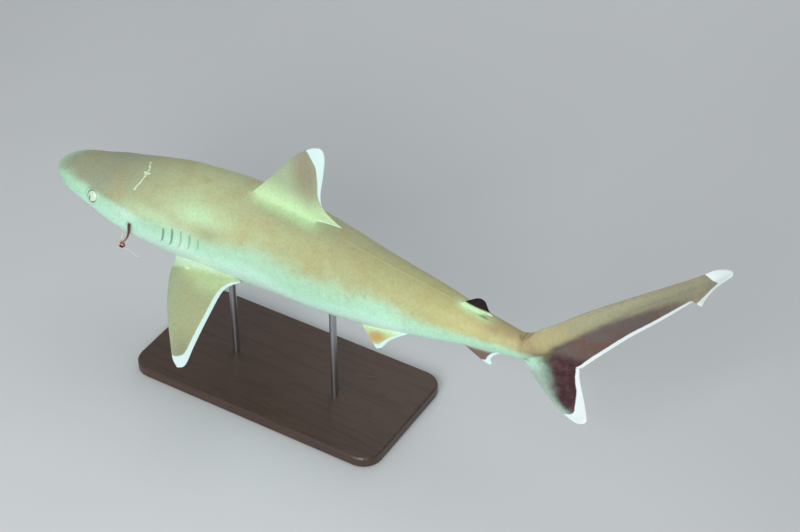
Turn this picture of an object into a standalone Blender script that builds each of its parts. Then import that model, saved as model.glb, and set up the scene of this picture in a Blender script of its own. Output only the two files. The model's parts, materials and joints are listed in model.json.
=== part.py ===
"""Silvertip shark (Carcharhinus albimarginatus), life size, swimming, on a plain display stand.

Metres, +Z up. The head points towards -X and the animal's left flank towards -Y. The origin is
the middle of the underside of the stand's base plate.

The animal is drawn straight first, in body space: (station, left, up), in percent of the total
length, with the station counted from the snout tip and the two others from the body's axis.
bend() then lays those points along the curved swimming axis, in metres.
"""
import math

import bmesh
import bpy
import numpy as np

# ---------------------------------------------------------------- driving dimensions
TOTAL_LENGTH = 1.80             # metres, snout tip to tail tip along the curved axis
PERCENT = TOTAL_LENGTH / 100    # one percent of the length, in metres
AXIS_HEIGHT = 0.45              # metres, body axis above the floor
BALANCE_STATION = 35.0          # station that stands over the origin
GAP = 0.0003                    # metres, clearance between neighbouring pieces

# Swimming curve: (station, heading in degrees; positive runs towards the left flank)
HEADING = ((0, -5), (22, -4.5), (45, 6.5), (64, 0), (74, -1), (86, -25.5), (100, -50))
# Roll of the tail about the axis: (station, degrees)
TAIL_ROLL = ((0, 0), (68, 0), (80, -6.5), (100, -6.5))

# Girth: (station, half width, back, belly, level of the widest line, squareness of the belly)
GIRTH = (
    (0.0, 4.05, 2.40, 0.30, 1.70, 2.30),
    (3.5, 4.20, 2.90, 1.00, 1.30, 2.50),
    (7.2, 4.95, 3.60, 2.10, 0.60, 2.60),
    (11.0, 5.75, 4.50, 3.70, 0.15, 2.60),
    (15.0, 6.30, 5.35, 5.00, 0.00, 2.40),
    (20.0, 6.65, 6.10, 6.10, 0.00, 2.25),
    (26.0, 6.55, 6.40, 6.85, 0.00, 2.20),
    (32.0, 6.30, 6.60, 7.35, 0.00, 2.25),
    (40.0, 5.65, 6.00, 7.20, 0.00, 2.25),
    (50.0, 4.80, 4.90, 5.90, 0.00, 2.15),
    (60.0, 3.60, 3.80, 3.65, 0.00, 2.00),
    (67.0, 2.20, 2.55, 2.50, 0.00, 2.00),
    (73.5, 1.30, 1.50, 1.95, 0.00, 2.00),
)
BACK_SQUARENESS = 2.1           # superellipse exponent of the upper half of every ring
SNOUT_WIDTH_ROUNDING = 5.2      # length over which the snout rounds off, seen from above
SNOUT_HEIGHT_ROUNDING = 3.2     # and seen from the side

# Lengths of the body, each a solid of its own: name, first station, last station
BODY_LENGTHS = (
    ("head", 0.0, 17.8),
    ("gill_region", 17.8, 28.8),
    ("trunk_front", 28.8, 46.0),
    ("trunk_rear", 46.0, 60.5),
    ("tail_stock", 60.5, 72.5),
)
RING_POINTS = 32
RING_SPACING = 1.9              # percent, between rings behind the snout
SNOUT_STATIONS = (0.1, 0.4, 0.95, 1.8, 3.0, 4.6)

# Fins. Outlines are (back, out) from the fin's origin; both end at the fin's apex. The trailing
# outline starts at the insertion and takes in the inner margin and the free rear tip. A point
# given twice is a corner.
FIRST_DORSAL = dict(
    origin=31.6, root_thickness=1.05, tip_thickness=0.22,
    leading=((-1.8, -0.9), (-0.3, 0.5), (1.1, 2.1), (3.3, 4.9), (6.4, 8.9), (8.3, 10.8), (9.4, 11.7),
             (10.3, 12.15)),
    trailing=((9.6, -0.9), (9.8, 0.3), (13.85, 1.4), (13.85, 1.4), (12.5, 1.85), (11.3, 2.4),
              (10.6, 3.1), (10.4, 4.1), (10.5, 5.5), (10.9, 7.7), (11.25, 10.4), (11.2, 11.6),
              (10.85, 12.15), (10.3, 12.15)))
SECOND_DORSAL = dict(
    origin=64.0, root_thickness=0.5, tip_thickness=0.14,
    leading=((-0.8, -0.7), (0, 0.1), (1.4, 1.4), (2.2, 2.1), (2.8, 2.35)),
    trailing=((2.9, -0.7), (3.0, 0.1), (4.5, 0.45), (4.5, 0.45), (3.9, 1.1), (3.6, 1.75), (3.3, 2.25),
              (2.8, 2.35)))
ANAL = dict(
    origin=63.6, root_thickness=0.55, tip_thickness=0.14,
    leading=((-0.8, -0.7), (0, 0.1), (2.3, 1.75), (3.9, 2.75), (4.7, 3.0)),
    trailing=((3.8, -0.7), (3.9, 0.1), (6.7, 0.2), (6.7, 0.2), (5.4, 1.1), (4.8, 2.0), (5.0, 2.7),
              (4.7, 3.0)))
PECTORAL = dict(
    origin=21.6, root_thickness=1.0, tip_thickness=0.2, side=5.4, level=-4.9, droop=20, pitch=0,
    leading=((-0.5, -1.5), (-0.4, 0), (0.0, 2.4), (1.6, 6.0), (3.6, 9.3), (5.4, 11.9), (6.8, 13.8),
             (8.0, 14.75)),
    trailing=((6.2, -1.5), (6.4, -0.5), (10.0, 0.05), (10.0, 0.05), (8.95, 0.9), (8.3, 1.9),
              (8.15, 3.2), (8.2, 5.0), (8.4, 8.5), (8.65, 11.5), (8.9, 13.5), (8.75, 14.4),
              (8.0, 14.75)))
PELVIC = dict(
    origin=49.8, root_thickness=0.6, tip_thickness=0.16, side=2.4, level=-4.5, droop=30, pitch=-12,
    leading=((-0.3, -0.9), (0.1, 0), (2.2, 1.5), (4.2, 2.85), (5.0, 3.35)),
    trailing=((4.6, -0.9), (4.8, 0.0), (8.2, 0.3), (8.2, 0.3), (7.0, 1.1), (6.1, 2.0), (5.7, 3.0),
              (5.0, 3.35)))
# The tail fin's outlines are (back from the tail root, up from the axis). The lobes part along
# the straight line from the lower origin to the fork.
TAIL_ROOT = 73.5
TAIL_UPPER = dict(
    span_steps=22,
    leading=((-0.98, 1.62), (0.2, 1.9), (1.5, 3.4), (4.5, 6.3), (8, 9.6), (12.3, 12.6), (16.6, 14.85),
             (20.3, 16.4), (21.7, 17.0), (22.9, 16.95), (23.7, 16.6), (23.95, 16.15)),
    trailing=((-0.98, -2.02), (7.2, -1.0), (7.2, -1.0), (9.5, 2.0), (12.9, 5.95), (16.2, 8.95),
              (19.4, 11.85), (19.8, 12.0), (20.85, 11.0), (20.85, 11.0), (21.2, 12.4), (22.25, 14.2),
              (23.75, 15.65), (23.95, 16.15)))
TAIL_LOWER = dict(
    span_steps=12,
    leading=((-0.75, -2.025), (0, -2.85), (1.2, -5.0), (2.7, -7.3), (4.4, -9.5), (5.9, -10.85),
             (6.9, -11.4), (7.55, -11.5)),
    trailing=((7.15, -1.04), (7.1, -2.3), (7.3, -3.9), (7.8, -6.6), (8.3, -9.9), (8.25, -10.9),
              (7.55, -11.5)))
TAIL_MARGIN = ((-0.98, 1.62), (1.5, 3.4), (8, 9.6), (12.3, 12.6), (16.6, 14.85), (20.3, 16.4),
               (21.7, 17.0), (22.9, 16.95), (23.95, 16.15), (22.25, 14.2), (21.2, 12.4),
               (20.85, 11.0), (19.6, 12.0), (16.2, 8.95), (12.9, 5.95), (9.5, 2.0), (7.2, -1.0),
               (7.1, -2.3), (7.3, -3.9), (7.8, -6.6), (8.3, -9.9), (7.55, -11.5), (5.9, -10.85),
               (4.4, -9.5), (2.7, -7.3), (1.2, -5.0), (0, -2.85), (-0.98, -2.02))
TAIL_WEB = 0.3                  # half thickness of the lobes away from their margins
TAIL_TAPER = 1.6                # distance from the margin over which the web thins to its edge
# The flesh that carries the upper lobe: (back, up, half height, half thickness)
TAIL_CORE = ((-0.98, -0.2, 1.82, 1.42), (2.5, 1.9, 1.7, 0.95), (6, 5.5, 1.4, 0.7),
             (12, 10.9, 0.95, 0.45), (18, 14.3, 0.6, 0.28), (22, 15.9, 0.3, 0.17))
FIN_EDGE = 0.055                # percent, half thickness of every fin edge
FLARE_REACH = 1.3               # height of a fin's flared root, and its spread on each side,
FLARE_SPREAD = 0.28             # both as shares of the root thickness
FIN_SPAN_STEPS = 12
FIN_CHORD_STEPS = 7

# Head details: (station, left, up) in percent, and sizes in percent
EYE = dict(station=8.1, level=1.33, radius=0.98, depth=0.62, sunk=0.34)
MOUTH = dict(front=8.6, corner=14.0, half_width=5.0, roof=-0.9, rear=16.4)
GILLS = dict(first=19.9, spacing=1.38, count=5, above=1.7, below=-1.9, lean=0.2, width=0.11,
             depth=0.3)

# Hook: a wire hook through the left corner of the mouth. Its eye ring holds a stiff wire stub and
# the short end of the stub's knot.
HOOK_PATH = ((14.6, 5.4, -0.2), (14.75, 6.45, -0.5), (14.8, 6.75, -1.4), (14.35, 6.8, -2.6),
             (13.5, 6.8, -3.65))
TAG_PATH = ((13.45, 6.8, -3.9), (13.5, 6.8, -3.1), (13.95, 6.8, -1.75))
HOOK_WIRE = (0.0036, 0.0021)    # metres, radius of the hook's wire at the cheek and at its ring
HOOK_RING = 0.0058              # metres, radius of its eye ring
RING_WIRE = 0.0026              # metres, radius of the ring's wire
STUB_PATH = ((13.5, 6.8, -4.25), (14.7, 6.8, -4.6), (16.0, 6.8, -5.25))
STUB_WIRE = 0.0014              # metres, radius of the wire stub

# Stand
BASE_SIZE = (0.72, 0.36, 0.03)
BASE_CORNER = 0.05
BASE_EDGE = 0.004
ROD_RADIUS = 0.009
ROD_STATIONS = (("stand_rod_front", 26.5), ("stand_rod_rear", 43.5))

COLOURS = {
    "back": (0.30, 0.25, 0.15), "fin": (0.26, 0.21, 0.13),
    "dark_fin": (0.05, 0.03, 0.03), "eye": (0.45, 0.50, 0.42), "jaw": (0.72, 0.78, 0.72),
    "rust": (0.22, 0.09, 0.03), "steel": (0.55, 0.55, 0.56), "base": (0.05, 0.05, 0.055),
}


# ---------------------------------------------------------------- curves
def eased(table, station, column=1):
    """One column of a table at the given stations, along a smooth curve without overshoot."""
    table = np.asarray(table, float)
    x, y = table[:, 0], table[:, column]
    step = np.diff(x)
    slope = np.diff(y) / step
    tangent = np.concatenate([slope[:1], np.zeros(len(x) - 2), slope[-1:]])
    for i in range(1, len(x) - 1):
        if slope[i - 1] * slope[i] > 0:
            before, after = 2 * step[i] + step[i - 1], step[i] + 2 * step[i - 1]
            tangent[i] = (before + after) / (before / slope[i - 1] + after / slope[i])
    station = np.clip(station, x[0], x[-1])
    i = np.clip(np.searchsorted(x, station, side="right") - 1, 0, len(step) - 1)
    t = (station - x[i]) / step[i]
    rise = y[i] * (1 + 2 * t) * (1 - t) ** 2 + y[i + 1] * t * t * (3 - 2 * t)
    return rise + step[i] * t * (1 - t) * (tangent[i] * (1 - t) - tangent[i + 1] * t)


def through(points, count):
    """Evenly spaced points on a smooth curve through the given ones, sharp where one is doubled."""
    points = np.asarray(points, float)
    padded = np.vstack([2 * points[0] - points[1], points, 2 * points[-1] - points[-2]])
    t = np.linspace(0, 1, 16, endpoint=False)[:, None]
    runs = []
    for a, b, c, d in zip(padded, padded[1:], padded[2:], padded[3:]):
        if np.allclose(b, c):
            continue
        runs.append(b + t * (c - a) / 2 + t ** 2 * (a - 2.5 * b + 2 * c - d / 2)
                    + t ** 3 * (1.5 * (b - c) + (d - a) / 2))
    fine = np.vstack(runs + [points[-1:]])
    length = np.concatenate([[0], np.cumsum(np.linalg.norm(np.diff(fine, axis=0), axis=1))])
    at = np.linspace(0, length[-1], count)
    return np.stack([np.interp(at, length, fine[:, k]) for k in range(fine.shape[1])], 1)


def swimming_axis():
    """Stations, and the axis's plan position and heading at each."""
    station = np.linspace(0, 100, 401)
    heading = np.radians(eased(HEADING, station))
    middle = (heading[1:] + heading[:-1]) / 2
    run = PERCENT * (station[1] - station[0])
    x = np.concatenate([[0], np.cumsum(np.cos(middle) * run)])
    y = np.concatenate([[0], np.cumsum(-np.sin(middle) * run)])
    return station, x - np.interp(BALANCE_STATION, station, x), \
        y - np.interp(BALANCE_STATION, station, y), heading


AXIS = swimming_axis()


def bend(points, rigid_at=None):
    """World position of body-space points. A rigid piece takes the axis of one station."""
    points = np.asarray(points, float)
    station, x, y, heading = AXIS
    at = points[..., 0] if rigid_at is None else np.full(points.shape[:-1], float(rigid_at))
    roll = np.radians(eased(TAIL_ROLL, at))
    along = (points[..., 0] - at) * PERCENT
    left = (points[..., 1] * np.cos(roll) - points[..., 2] * np.sin(roll)) * PERCENT
    up = (points[..., 1] * np.sin(roll) + points[..., 2] * np.cos(roll)) * PERCENT
    angle = np.interp(at, station, heading)
    return np.stack([np.interp(at, station, x) + along * np.cos(angle) - left * np.sin(angle),
                     np.interp(at, station, y) - along * np.sin(angle) - left * np.cos(angle),
                     AXIS_HEIGHT + up], -1)


# ---------------------------------------------------------------- meshes
def new_object(name, vertices, faces, colour=None):
    """A mesh object with its faces turned outwards and its double points joined."""
    mesh = bpy.data.meshes.new(name)
    mesh.from_pydata([tuple(v) for v in vertices], [], faces)
    shell = bmesh.new()
    shell.from_mesh(mesh)
    bmesh.ops.remove_doubles(shell, verts=shell.verts, dist=1e-6)
    bmesh.ops.recalc_face_normals(shell, faces=shell.faces)
    shell.to_mesh(mesh)
    shell.free()
    piece = bpy.data.objects.new(name, mesh)
    bpy.context.collection.objects.link(piece)
    if colour:
        finish(piece, colour)
    else:
        piece.hide_render = True
        piece.display_type = "WIRE"
    return piece


def finish(piece, colour, roughness=0.5, metallic=0.0):
    material = bpy.data.materials.new(piece.name)
    material.use_nodes = True
    shader = material.node_tree.nodes["Principled BSDF"]
    shader.inputs["Base Color"].default_value = (*COLOURS[colour], 1)
    shader.inputs["Roughness"].default_value = roughness
    shader.inputs["Metallic"].default_value = metallic
    piece.data.materials.clear()
    piece.data.materials.append(material)
    piece.data.shade_smooth()
    piece.data.set_sharp_from_angle(angle=math.radians(35))


def loft(name, rings, colour=None):
    """A closed solid through rings of points. A ring that has shrunk to a point closes itself."""
    count = len(rings[0])
    faces = []
    for r in range(len(rings) - 1):
        for i in range(count):
            j = (i + 1) % count
            faces.append((r * count + i, r * count + j, (r + 1) * count + j, (r + 1) * count + i))
    faces.append(tuple(range(count)))
    faces.append(tuple(range((len(rings) - 1) * count, len(rings) * count)))
    shrunk = [np.ptp(rings[k], axis=0).max() < 1e-6 for k in (0, -1)]
    faces = [f for f, gone in zip(faces, [False] * (len(faces) - 2) + shrunk) if not gone]
    return new_object(name, np.vstack(rings), faces, colour)


def boolean(piece, operation, other):
    step = piece.modifiers.new(operation.lower(), "BOOLEAN")
    step.operation = operation
    step.object = other
    step.solver = "EXACT"


# ---------------------------------------------------------------- body
def rounding(station, length):
    return np.sqrt(1 - (1 - np.clip(station / length, 0, 1)) ** 2)


def girth(station):
    """Half width, height of the back and depth of the belly from the widest line, its level."""
    level = eased(GIRTH, station, 4)
    height = rounding(station, SNOUT_HEIGHT_ROUNDING)
    width = eased(GIRTH, station, 1) * rounding(station, SNOUT_WIDTH_ROUNDING)
    back = (eased(GIRTH, station, 2) - level) * height
    belly = (eased(GIRTH, station, 3) + level) * height
    return width, back, belly, level


def skin_point(station, angle, grow=0.0):
    """Body-space point of the skin. Angle 0 is the left flank and 90 degrees the back."""
    width, back, belly, level = girth(station)
    upper = np.sin(angle) >= 0
    power = 2 / np.where(upper, BACK_SQUARENESS, eased(GIRTH, station, 5))
    side = np.sign(np.cos(angle)) * np.abs(np.cos(angle)) ** power
    rise = np.sign(np.sin(angle)) * np.abs(np.sin(angle)) ** power
    left = (width + grow) * side
    up = level + (np.where(upper, back, belly) + grow) * rise
    return np.stack([station + 0 * left, left, up], -1)


def body_stations(first, last):
    """Ring stations of a length of the body, closer together on the snout."""
    steps = max(2, math.ceil((last - max(first, SNOUT_STATIONS[-1])) / RING_SPACING))
    even = np.linspace(max(first, SNOUT_STATIONS[-1]), last, steps + 1)
    if first > 0:
        return even
    return np.concatenate([[0], SNOUT_STATIONS[:-1], even])


def body_loft(name, first, last, grow=0.0, colour=None, clear=0.0):
    angles = np.linspace(0, 2 * math.pi, RING_POINTS, endpoint=False)
    stations = body_stations(first, last)
    stations[0] += clear if first > 0 else 0
    stations[-1] -= clear
    rings = [bend(skin_point(np.full(RING_POINTS, s), angles, grow if s > 0 else 0))
             for s in stations]
    return loft(name, rings, colour)


def make_body():
    """The lengths of the body, parted by thin cuts square to the axis."""
    clear = GAP / PERCENT / 2
    for name, first, last in BODY_LENGTHS:
        body_loft(name, first, last, 0.0, "back", clear)


# ---------------------------------------------------------------- fins
def root_flare(fin, line):
    """Extra half thickness where a fin spreads into the body."""
    closeness = np.clip(1 - line[:, 1] / (fin["root_thickness"] * FLARE_REACH), 0, 1.4)
    return fin["root_thickness"] * FLARE_SPREAD * closeness ** 2


def foil_rings(fin, place, thickness=None):
    """Rings of a fin: sections from the leading to the trailing outline, from root to apex."""
    steps = fin.get("span_steps", FIN_SPAN_STEPS)
    leading = through(fin["leading"], steps)
    trailing = through(fin["trailing"], steps)
    chord = (1 - np.cos(np.linspace(0, math.pi, FIN_CHORD_STEPS))) / 2
    bulge = 10 * (0.2969 * np.sqrt(chord) - 0.1260 * chord - 0.3516 * chord ** 2
                  + 0.2843 * chord ** 3 - 0.1036 * chord ** 4)
    rings = []
    for v, (front, rear) in enumerate(zip(leading, trailing)):
        line = front + chord[:, None] * (rear - front)
        if thickness:
            half = thickness(line)
        else:
            share = 1 - v / (steps - 1)
            taper = (fin["root_thickness"] - fin["tip_thickness"]) * share ** 1.3
            half = np.maximum(bulge * (fin["tip_thickness"] + taper) / 2, FIN_EDGE)
            half = half + root_flare(fin, line)
        rings.append(np.vstack([place(line, half), place(line, -half)[::-1]]))
    return rings


def median_place(fin, upright):
    """A fin on the midline: out is counted from the back or the belly at each station."""
    def place(line, half):
        station = fin["origin"] + line[:, 0]
        width, back, belly, level = girth(station)
        edge = level + back if upright > 0 else belly - level
        return bend(np.stack([station, half, upright * (edge + line[:, 1])], -1))
    return place


def tail_place(line, half):
    return bend(np.stack([TAIL_ROOT + line[:, 0], half, line[:, 1]], -1))


def paired_place(fin, side):
    """A stiff fin that leaves the flank at its droop angle. Side is 1 left and -1 right."""
    droop, pitch = math.radians(fin["droop"]), math.radians(fin["pitch"])

    def place(line, half):
        back, out = line[:, 0], line[:, 1]
        left = side * (fin["side"] + out * math.cos(droop) + half * math.sin(droop))
        up = fin["level"] - out * math.sin(droop) - back * math.tan(pitch) + half * math.cos(droop)
        return bend(np.stack([fin["origin"] + back, left, up], -1), fin["origin"] + 3)
    return place


def make_fins(cutter):
    """Every fin on the body, cut to sit on the skin."""
    fins = [("first_dorsal_fin", FIRST_DORSAL, median_place(FIRST_DORSAL, 1), "fin"),
            ("second_dorsal_fin", SECOND_DORSAL, median_place(SECOND_DORSAL, 1), "dark_fin"),
            ("anal_fin", ANAL, median_place(ANAL, -1), "fin")]
    for side, word in ((1, "left"), (-1, "right")):
        fins.append(("pectoral_fin_" + word, PECTORAL, paired_place(PECTORAL, side), "fin"))
        fins.append(("pelvic_fin_" + word, PELVIC, paired_place(PELVIC, side), "fin"))
    for name, fin, place, colour in fins:
        boolean(loft(name, foil_rings(fin, place), colour), "DIFFERENCE", cutter)


def distance_to(path, points):
    """Distance of each point from a line through the path, and where along the line it is."""
    start, run = path[:-1, :2], np.diff(path[:, :2], axis=0)
    offset = points[:, None] - start
    share = np.clip((offset * run).sum(-1) / (run ** 2).sum(-1), 0, 1)
    gap = np.linalg.norm(offset - share[..., None] * run, axis=-1)
    nearest = gap.argmin(1)
    rows = np.arange(len(points))
    return gap[rows, nearest], nearest + share[rows, nearest]


def tail_thickness(points):
    """Half thickness of the tail fin: a thin web, with the flesh of the upper lobe in it."""
    inside, _ = distance_to(np.array(TAIL_MARGIN + TAIL_MARGIN[:1], float), points)
    web = FIN_EDGE + (TAIL_WEB - FIN_EDGE) * np.clip(inside / TAIL_TAPER, 0, 1)
    core = through(TAIL_CORE, 40)
    off, at = distance_to(core, points)
    half_height, half_thickness = (np.interp(at, np.arange(40), core[:, k]) for k in (2, 3))
    flesh = half_thickness * np.sqrt(np.clip(1 - (off / half_height) ** 2, 0, 1))
    return np.maximum(web, flesh)


def make_tail_fin():
    for name, fin in (("caudal_fin_upper_lobe", TAIL_UPPER), ("caudal_fin_lower_lobe", TAIL_LOWER)):
        loft(name, foil_rings(fin, tail_place, tail_thickness), "fin")


# ---------------------------------------------------------------- head
def skin_angle(station, level):
    """Angle of the skin point at a level, on the left flank."""
    width, back, belly, middle = girth(station)
    above = level >= middle
    power = 2 / (BACK_SQUARENESS if above else eased(GIRTH, station, 5))
    share = abs(level - middle) / (back if above else belly)
    return math.asin(share ** (1 / power)) * (1 if above else -1)


def skin_frame(station, level, side):
    """World point of the skin, and its outward, forward and upward directions."""
    mirror = np.array([1, side, 1])
    angle = skin_angle(station, level)
    here, ahead, above = (bend(skin_point(s, a) * mirror) for s, a in (
        (station, angle), (station - 0.1, angle), (station, angle + 0.02)))
    forward = (ahead - here) / np.linalg.norm(ahead - here)
    up = (above - here) - forward * np.dot(above - here, forward)
    up /= np.linalg.norm(up)
    return here, np.cross(up, forward) * side, forward, up


def ball(name, side, grow=0.0, colour=None):
    """An eyeball, flattened along the skin's outward direction and set into the head."""
    here, out, forward, up = skin_frame(EYE["station"], EYE["level"], side)
    centre = here - out * EYE["sunk"] * PERCENT
    radius, depth = (EYE[key] * PERCENT + grow for key in ("radius", "depth"))
    rings = []
    for polar in np.linspace(0, math.pi, 9):
        turn = np.linspace(0, 2 * math.pi, 16, endpoint=False)[:, None]
        rings.append(centre + out * depth * math.cos(polar) + radius * math.sin(polar)
                     * (forward * np.cos(turn) + up * np.sin(turn)))
    return loft(name, rings, colour)


def jaw_block(name, grow=0.0, colour=None):
    """The lower jaw's outline, an arch with its corners at the mouth's, drawn downwards."""
    left = np.linspace(-1, 1, 15)
    width = MOUTH["half_width"] + grow
    depth = MOUTH["corner"] - MOUTH["front"]
    arch = [(MOUTH["front"] - grow + depth * abs(k) ** 2.2, width * k) for k in left]
    heel = [(MOUTH["rear"] + grow, 0.62 * width), (MOUTH["rear"] + grow, -0.62 * width)]
    outline = np.array(arch + heel)
    rings = [bend(np.column_stack([outline, np.full(len(outline), level)]))
             for level in (-8.0, MOUTH["roof"] + grow)]
    return loft(name, rings, colour)


def gill_cutter(number, side):
    """A thin curved blade that cuts one gill slit into the flank."""
    station = GILLS["first"] + GILLS["spacing"] * number
    top, bottom = (skin_angle(station, GILLS[key]) for key in ("above", "below"))
    rings = []
    for share in np.linspace(0, 1, 5):
        angle = top + (bottom - top) * share
        level = GILLS["above"] + (GILLS["below"] - GILLS["above"]) * share
        bow = station + GILLS["lean"] * level + 0.3 * math.sin(math.pi * share)
        half = GILLS["width"] / 2 * (0.3 + 0.7 * math.sin(math.pi * share))
        corners = ((-half, 0.3), (half, 0.3), (half, -GILLS["depth"]), (-half, -GILLS["depth"]))
        rings.append(bend([skin_point(bow + ahead, angle, grow) * (1, side, 1)
                           for ahead, grow in corners]))
    return loft("gill_cutter", rings)


def make_head():
    """Eyes in their sockets, the lower jaw in its arch, and the gill slits."""
    head = bpy.data.objects["head"]
    gills = bpy.data.objects["gill_region"]
    whole_head = body_loft("whole_head", 0.0, BODY_LENGTHS[0][2], 0.0, None, GAP / PERCENT / 2)
    jaw = jaw_block("lower_jaw", 0.0, "jaw")
    boolean(jaw, "INTERSECT", whole_head)
    boolean(head, "DIFFERENCE", jaw_block("jaw_room", 1.5 * GAP / PERCENT))
    for side, word in ((1, "left"), (-1, "right")):
        ball("eye_" + word, side, 0.0, "eye")
        boolean(head, "DIFFERENCE", ball("socket", side, GAP))
        for number in range(GILLS["count"]):
            boolean(gills, "DIFFERENCE", gill_cutter(number, side))


# ---------------------------------------------------------------- hook
def tube(name, path, radius, colour=None, sides=8):
    """A round wire along a path of world points, its ends closed square.

    The radius may differ from point to point.
    """
    path = np.asarray(path, float)
    radius = np.broadcast_to(radius, len(path))
    turn = np.linspace(0, 2 * math.pi, sides, endpoint=False)[:, None]
    run = np.gradient(path, axis=0)
    run /= np.linalg.norm(run, axis=1)[:, None]
    across = np.cross(run, (0.3, 1, 0.1))
    across /= np.linalg.norm(across, axis=1)[:, None]
    rings = [p + size * (np.cos(turn) * a + np.sin(turn) * np.cross(r, a))
             for p, a, r, size in zip(path, across, run, radius)]
    return loft(name, rings, colour)


def torus(name, centre, facing, radius, wire, around=16, sides=8):
    """A closed ring of wire whose hole faces the given direction."""
    facing = np.asarray(facing, float) / np.linalg.norm(facing)
    flat = np.cross(facing, (0, 0, 1))
    flat /= np.linalg.norm(flat)
    rise = np.cross(flat, facing)
    vertices = []
    for turn in np.linspace(0, 2 * math.pi, around, endpoint=False):
        outward = math.cos(turn) * flat + math.sin(turn) * rise
        for tilt in np.linspace(0, 2 * math.pi, sides, endpoint=False):
            vertices.append(centre + outward * (radius + wire * math.cos(tilt))
                            + facing * wire * math.sin(tilt))
    faces = []
    for a in range(around):
        b = (a + 1) % around
        for i in range(sides):
            j = (i + 1) % sides
            faces.append((a * sides + i, a * sides + j, b * sides + j, b * sides + i))
    return new_object(name, vertices, faces)


def make_hook(cutter):
    """The hook's shank leaves the mouth's left corner and ends in the ring that holds the stub."""
    shank = bend(through(HOOK_PATH, 12))
    ring_centre = shank[-1] + (0, 0, -HOOK_RING)
    share = np.clip(np.linspace(-0.4, 1.2, len(shank)), 0, 1)
    thickness = HOOK_WIRE[0] + (HOOK_WIRE[1] - HOOK_WIRE[0]) * share
    hook = tube("hook", shank, thickness, "rust")
    boolean(hook, "UNION", torus("hook_ring", ring_centre, (0.4, -1, 0.1), HOOK_RING, RING_WIRE))
    for name, path in (("hook_stub", STUB_PATH), ("hook_tag", TAG_PATH)):
        boolean(hook, "UNION", tube(name, bend(through(path, 8)), STUB_WIRE, sides=6))
    boolean(hook, "DIFFERENCE", cutter)


# ---------------------------------------------------------------- stand
def make_base():
    """A flat plate with rounded corners and eased edges."""
    length, width, height = BASE_SIZE
    outline = []
    for turn in range(4):
        corner = (math.copysign(length / 2 - BASE_CORNER, (1, -1, -1, 1)[turn]),
                  math.copysign(width / 2 - BASE_CORNER, (1, 1, -1, -1)[turn]))
        for step in np.linspace(0, math.pi / 2, 7):
            angle = turn * math.pi / 2 + step
            outline.append((corner, (math.cos(angle), math.sin(angle))))
    rings = []
    for level, inset in ((0, BASE_EDGE), (BASE_EDGE, 0), (height - BASE_EDGE, 0), (height, BASE_EDGE)):
        reach = BASE_CORNER - inset
        rings.append(np.array([(c[0] + reach * d[0], c[1] + reach * d[1], level)
                               for c, d in outline]))
    loft("stand_base", rings, "base")


def make_rods(cutter):
    """Round steel rods from the base plate up to the belly, whose shape their tops take."""
    turn = np.linspace(0, 2 * math.pi, 28, endpoint=False)
    for name, station in ROD_STATIONS:
        x, y, z = bend((station, 0, 0))
        circle = np.stack([x + ROD_RADIUS * np.cos(turn), y + ROD_RADIUS * np.sin(turn)], -1)
        rings = [np.column_stack([circle, np.full(len(turn), level)])
                 for level in (BASE_SIZE[2] + GAP, AXIS_HEIGHT)]
        rod = loft(name, rings, "steel")
        finish(rod, "steel", 0.3, 1.0)
        boolean(rod, "DIFFERENCE", cutter)


def main():
    for piece in list(bpy.data.objects):
        bpy.data.objects.remove(piece, do_unlink=True)
    make_body()
    cutter = body_loft("body_cutter", 0.0, TAIL_ROOT, GAP / PERCENT)
    make_fins(cutter)
    make_tail_fin()
    make_head()
    make_hook(cutter)
    make_base()
    make_rods(cutter)


main()
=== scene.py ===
"""Looks for the silvertip shark on its display stand.

The skin is one seamless mesh that repeats the CAD's own formulas at a fine spacing. Body space is
(station, left, up) in percent of the total length; bend() lays it along the swimming axis, in metres.
"""
import json
import math

import bmesh
import bpy
import numpy as np
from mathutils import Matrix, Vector
from mathutils.kdtree import KDTree

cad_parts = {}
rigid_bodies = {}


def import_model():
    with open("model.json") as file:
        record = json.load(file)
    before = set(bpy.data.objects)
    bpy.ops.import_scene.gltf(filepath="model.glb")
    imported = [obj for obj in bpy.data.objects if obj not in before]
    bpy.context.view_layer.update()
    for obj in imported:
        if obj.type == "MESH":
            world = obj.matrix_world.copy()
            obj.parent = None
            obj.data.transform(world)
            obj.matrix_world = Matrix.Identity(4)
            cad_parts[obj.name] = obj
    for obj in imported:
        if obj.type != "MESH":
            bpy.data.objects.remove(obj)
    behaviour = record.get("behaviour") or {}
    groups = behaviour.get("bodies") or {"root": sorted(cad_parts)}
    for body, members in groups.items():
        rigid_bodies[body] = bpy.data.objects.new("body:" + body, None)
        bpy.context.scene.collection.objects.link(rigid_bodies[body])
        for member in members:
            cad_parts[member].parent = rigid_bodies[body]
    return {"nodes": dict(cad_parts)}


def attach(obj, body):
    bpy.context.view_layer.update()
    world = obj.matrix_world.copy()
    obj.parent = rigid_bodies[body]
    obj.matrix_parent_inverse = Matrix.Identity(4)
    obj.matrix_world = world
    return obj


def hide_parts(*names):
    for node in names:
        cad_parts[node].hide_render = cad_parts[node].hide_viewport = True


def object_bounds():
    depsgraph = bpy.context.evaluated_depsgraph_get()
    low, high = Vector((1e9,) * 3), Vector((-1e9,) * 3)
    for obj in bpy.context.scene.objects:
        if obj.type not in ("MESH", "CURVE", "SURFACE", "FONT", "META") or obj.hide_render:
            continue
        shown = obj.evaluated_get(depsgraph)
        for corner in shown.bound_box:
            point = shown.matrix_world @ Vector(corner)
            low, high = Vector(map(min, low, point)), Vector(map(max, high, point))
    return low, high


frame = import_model()
cad_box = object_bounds()

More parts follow.
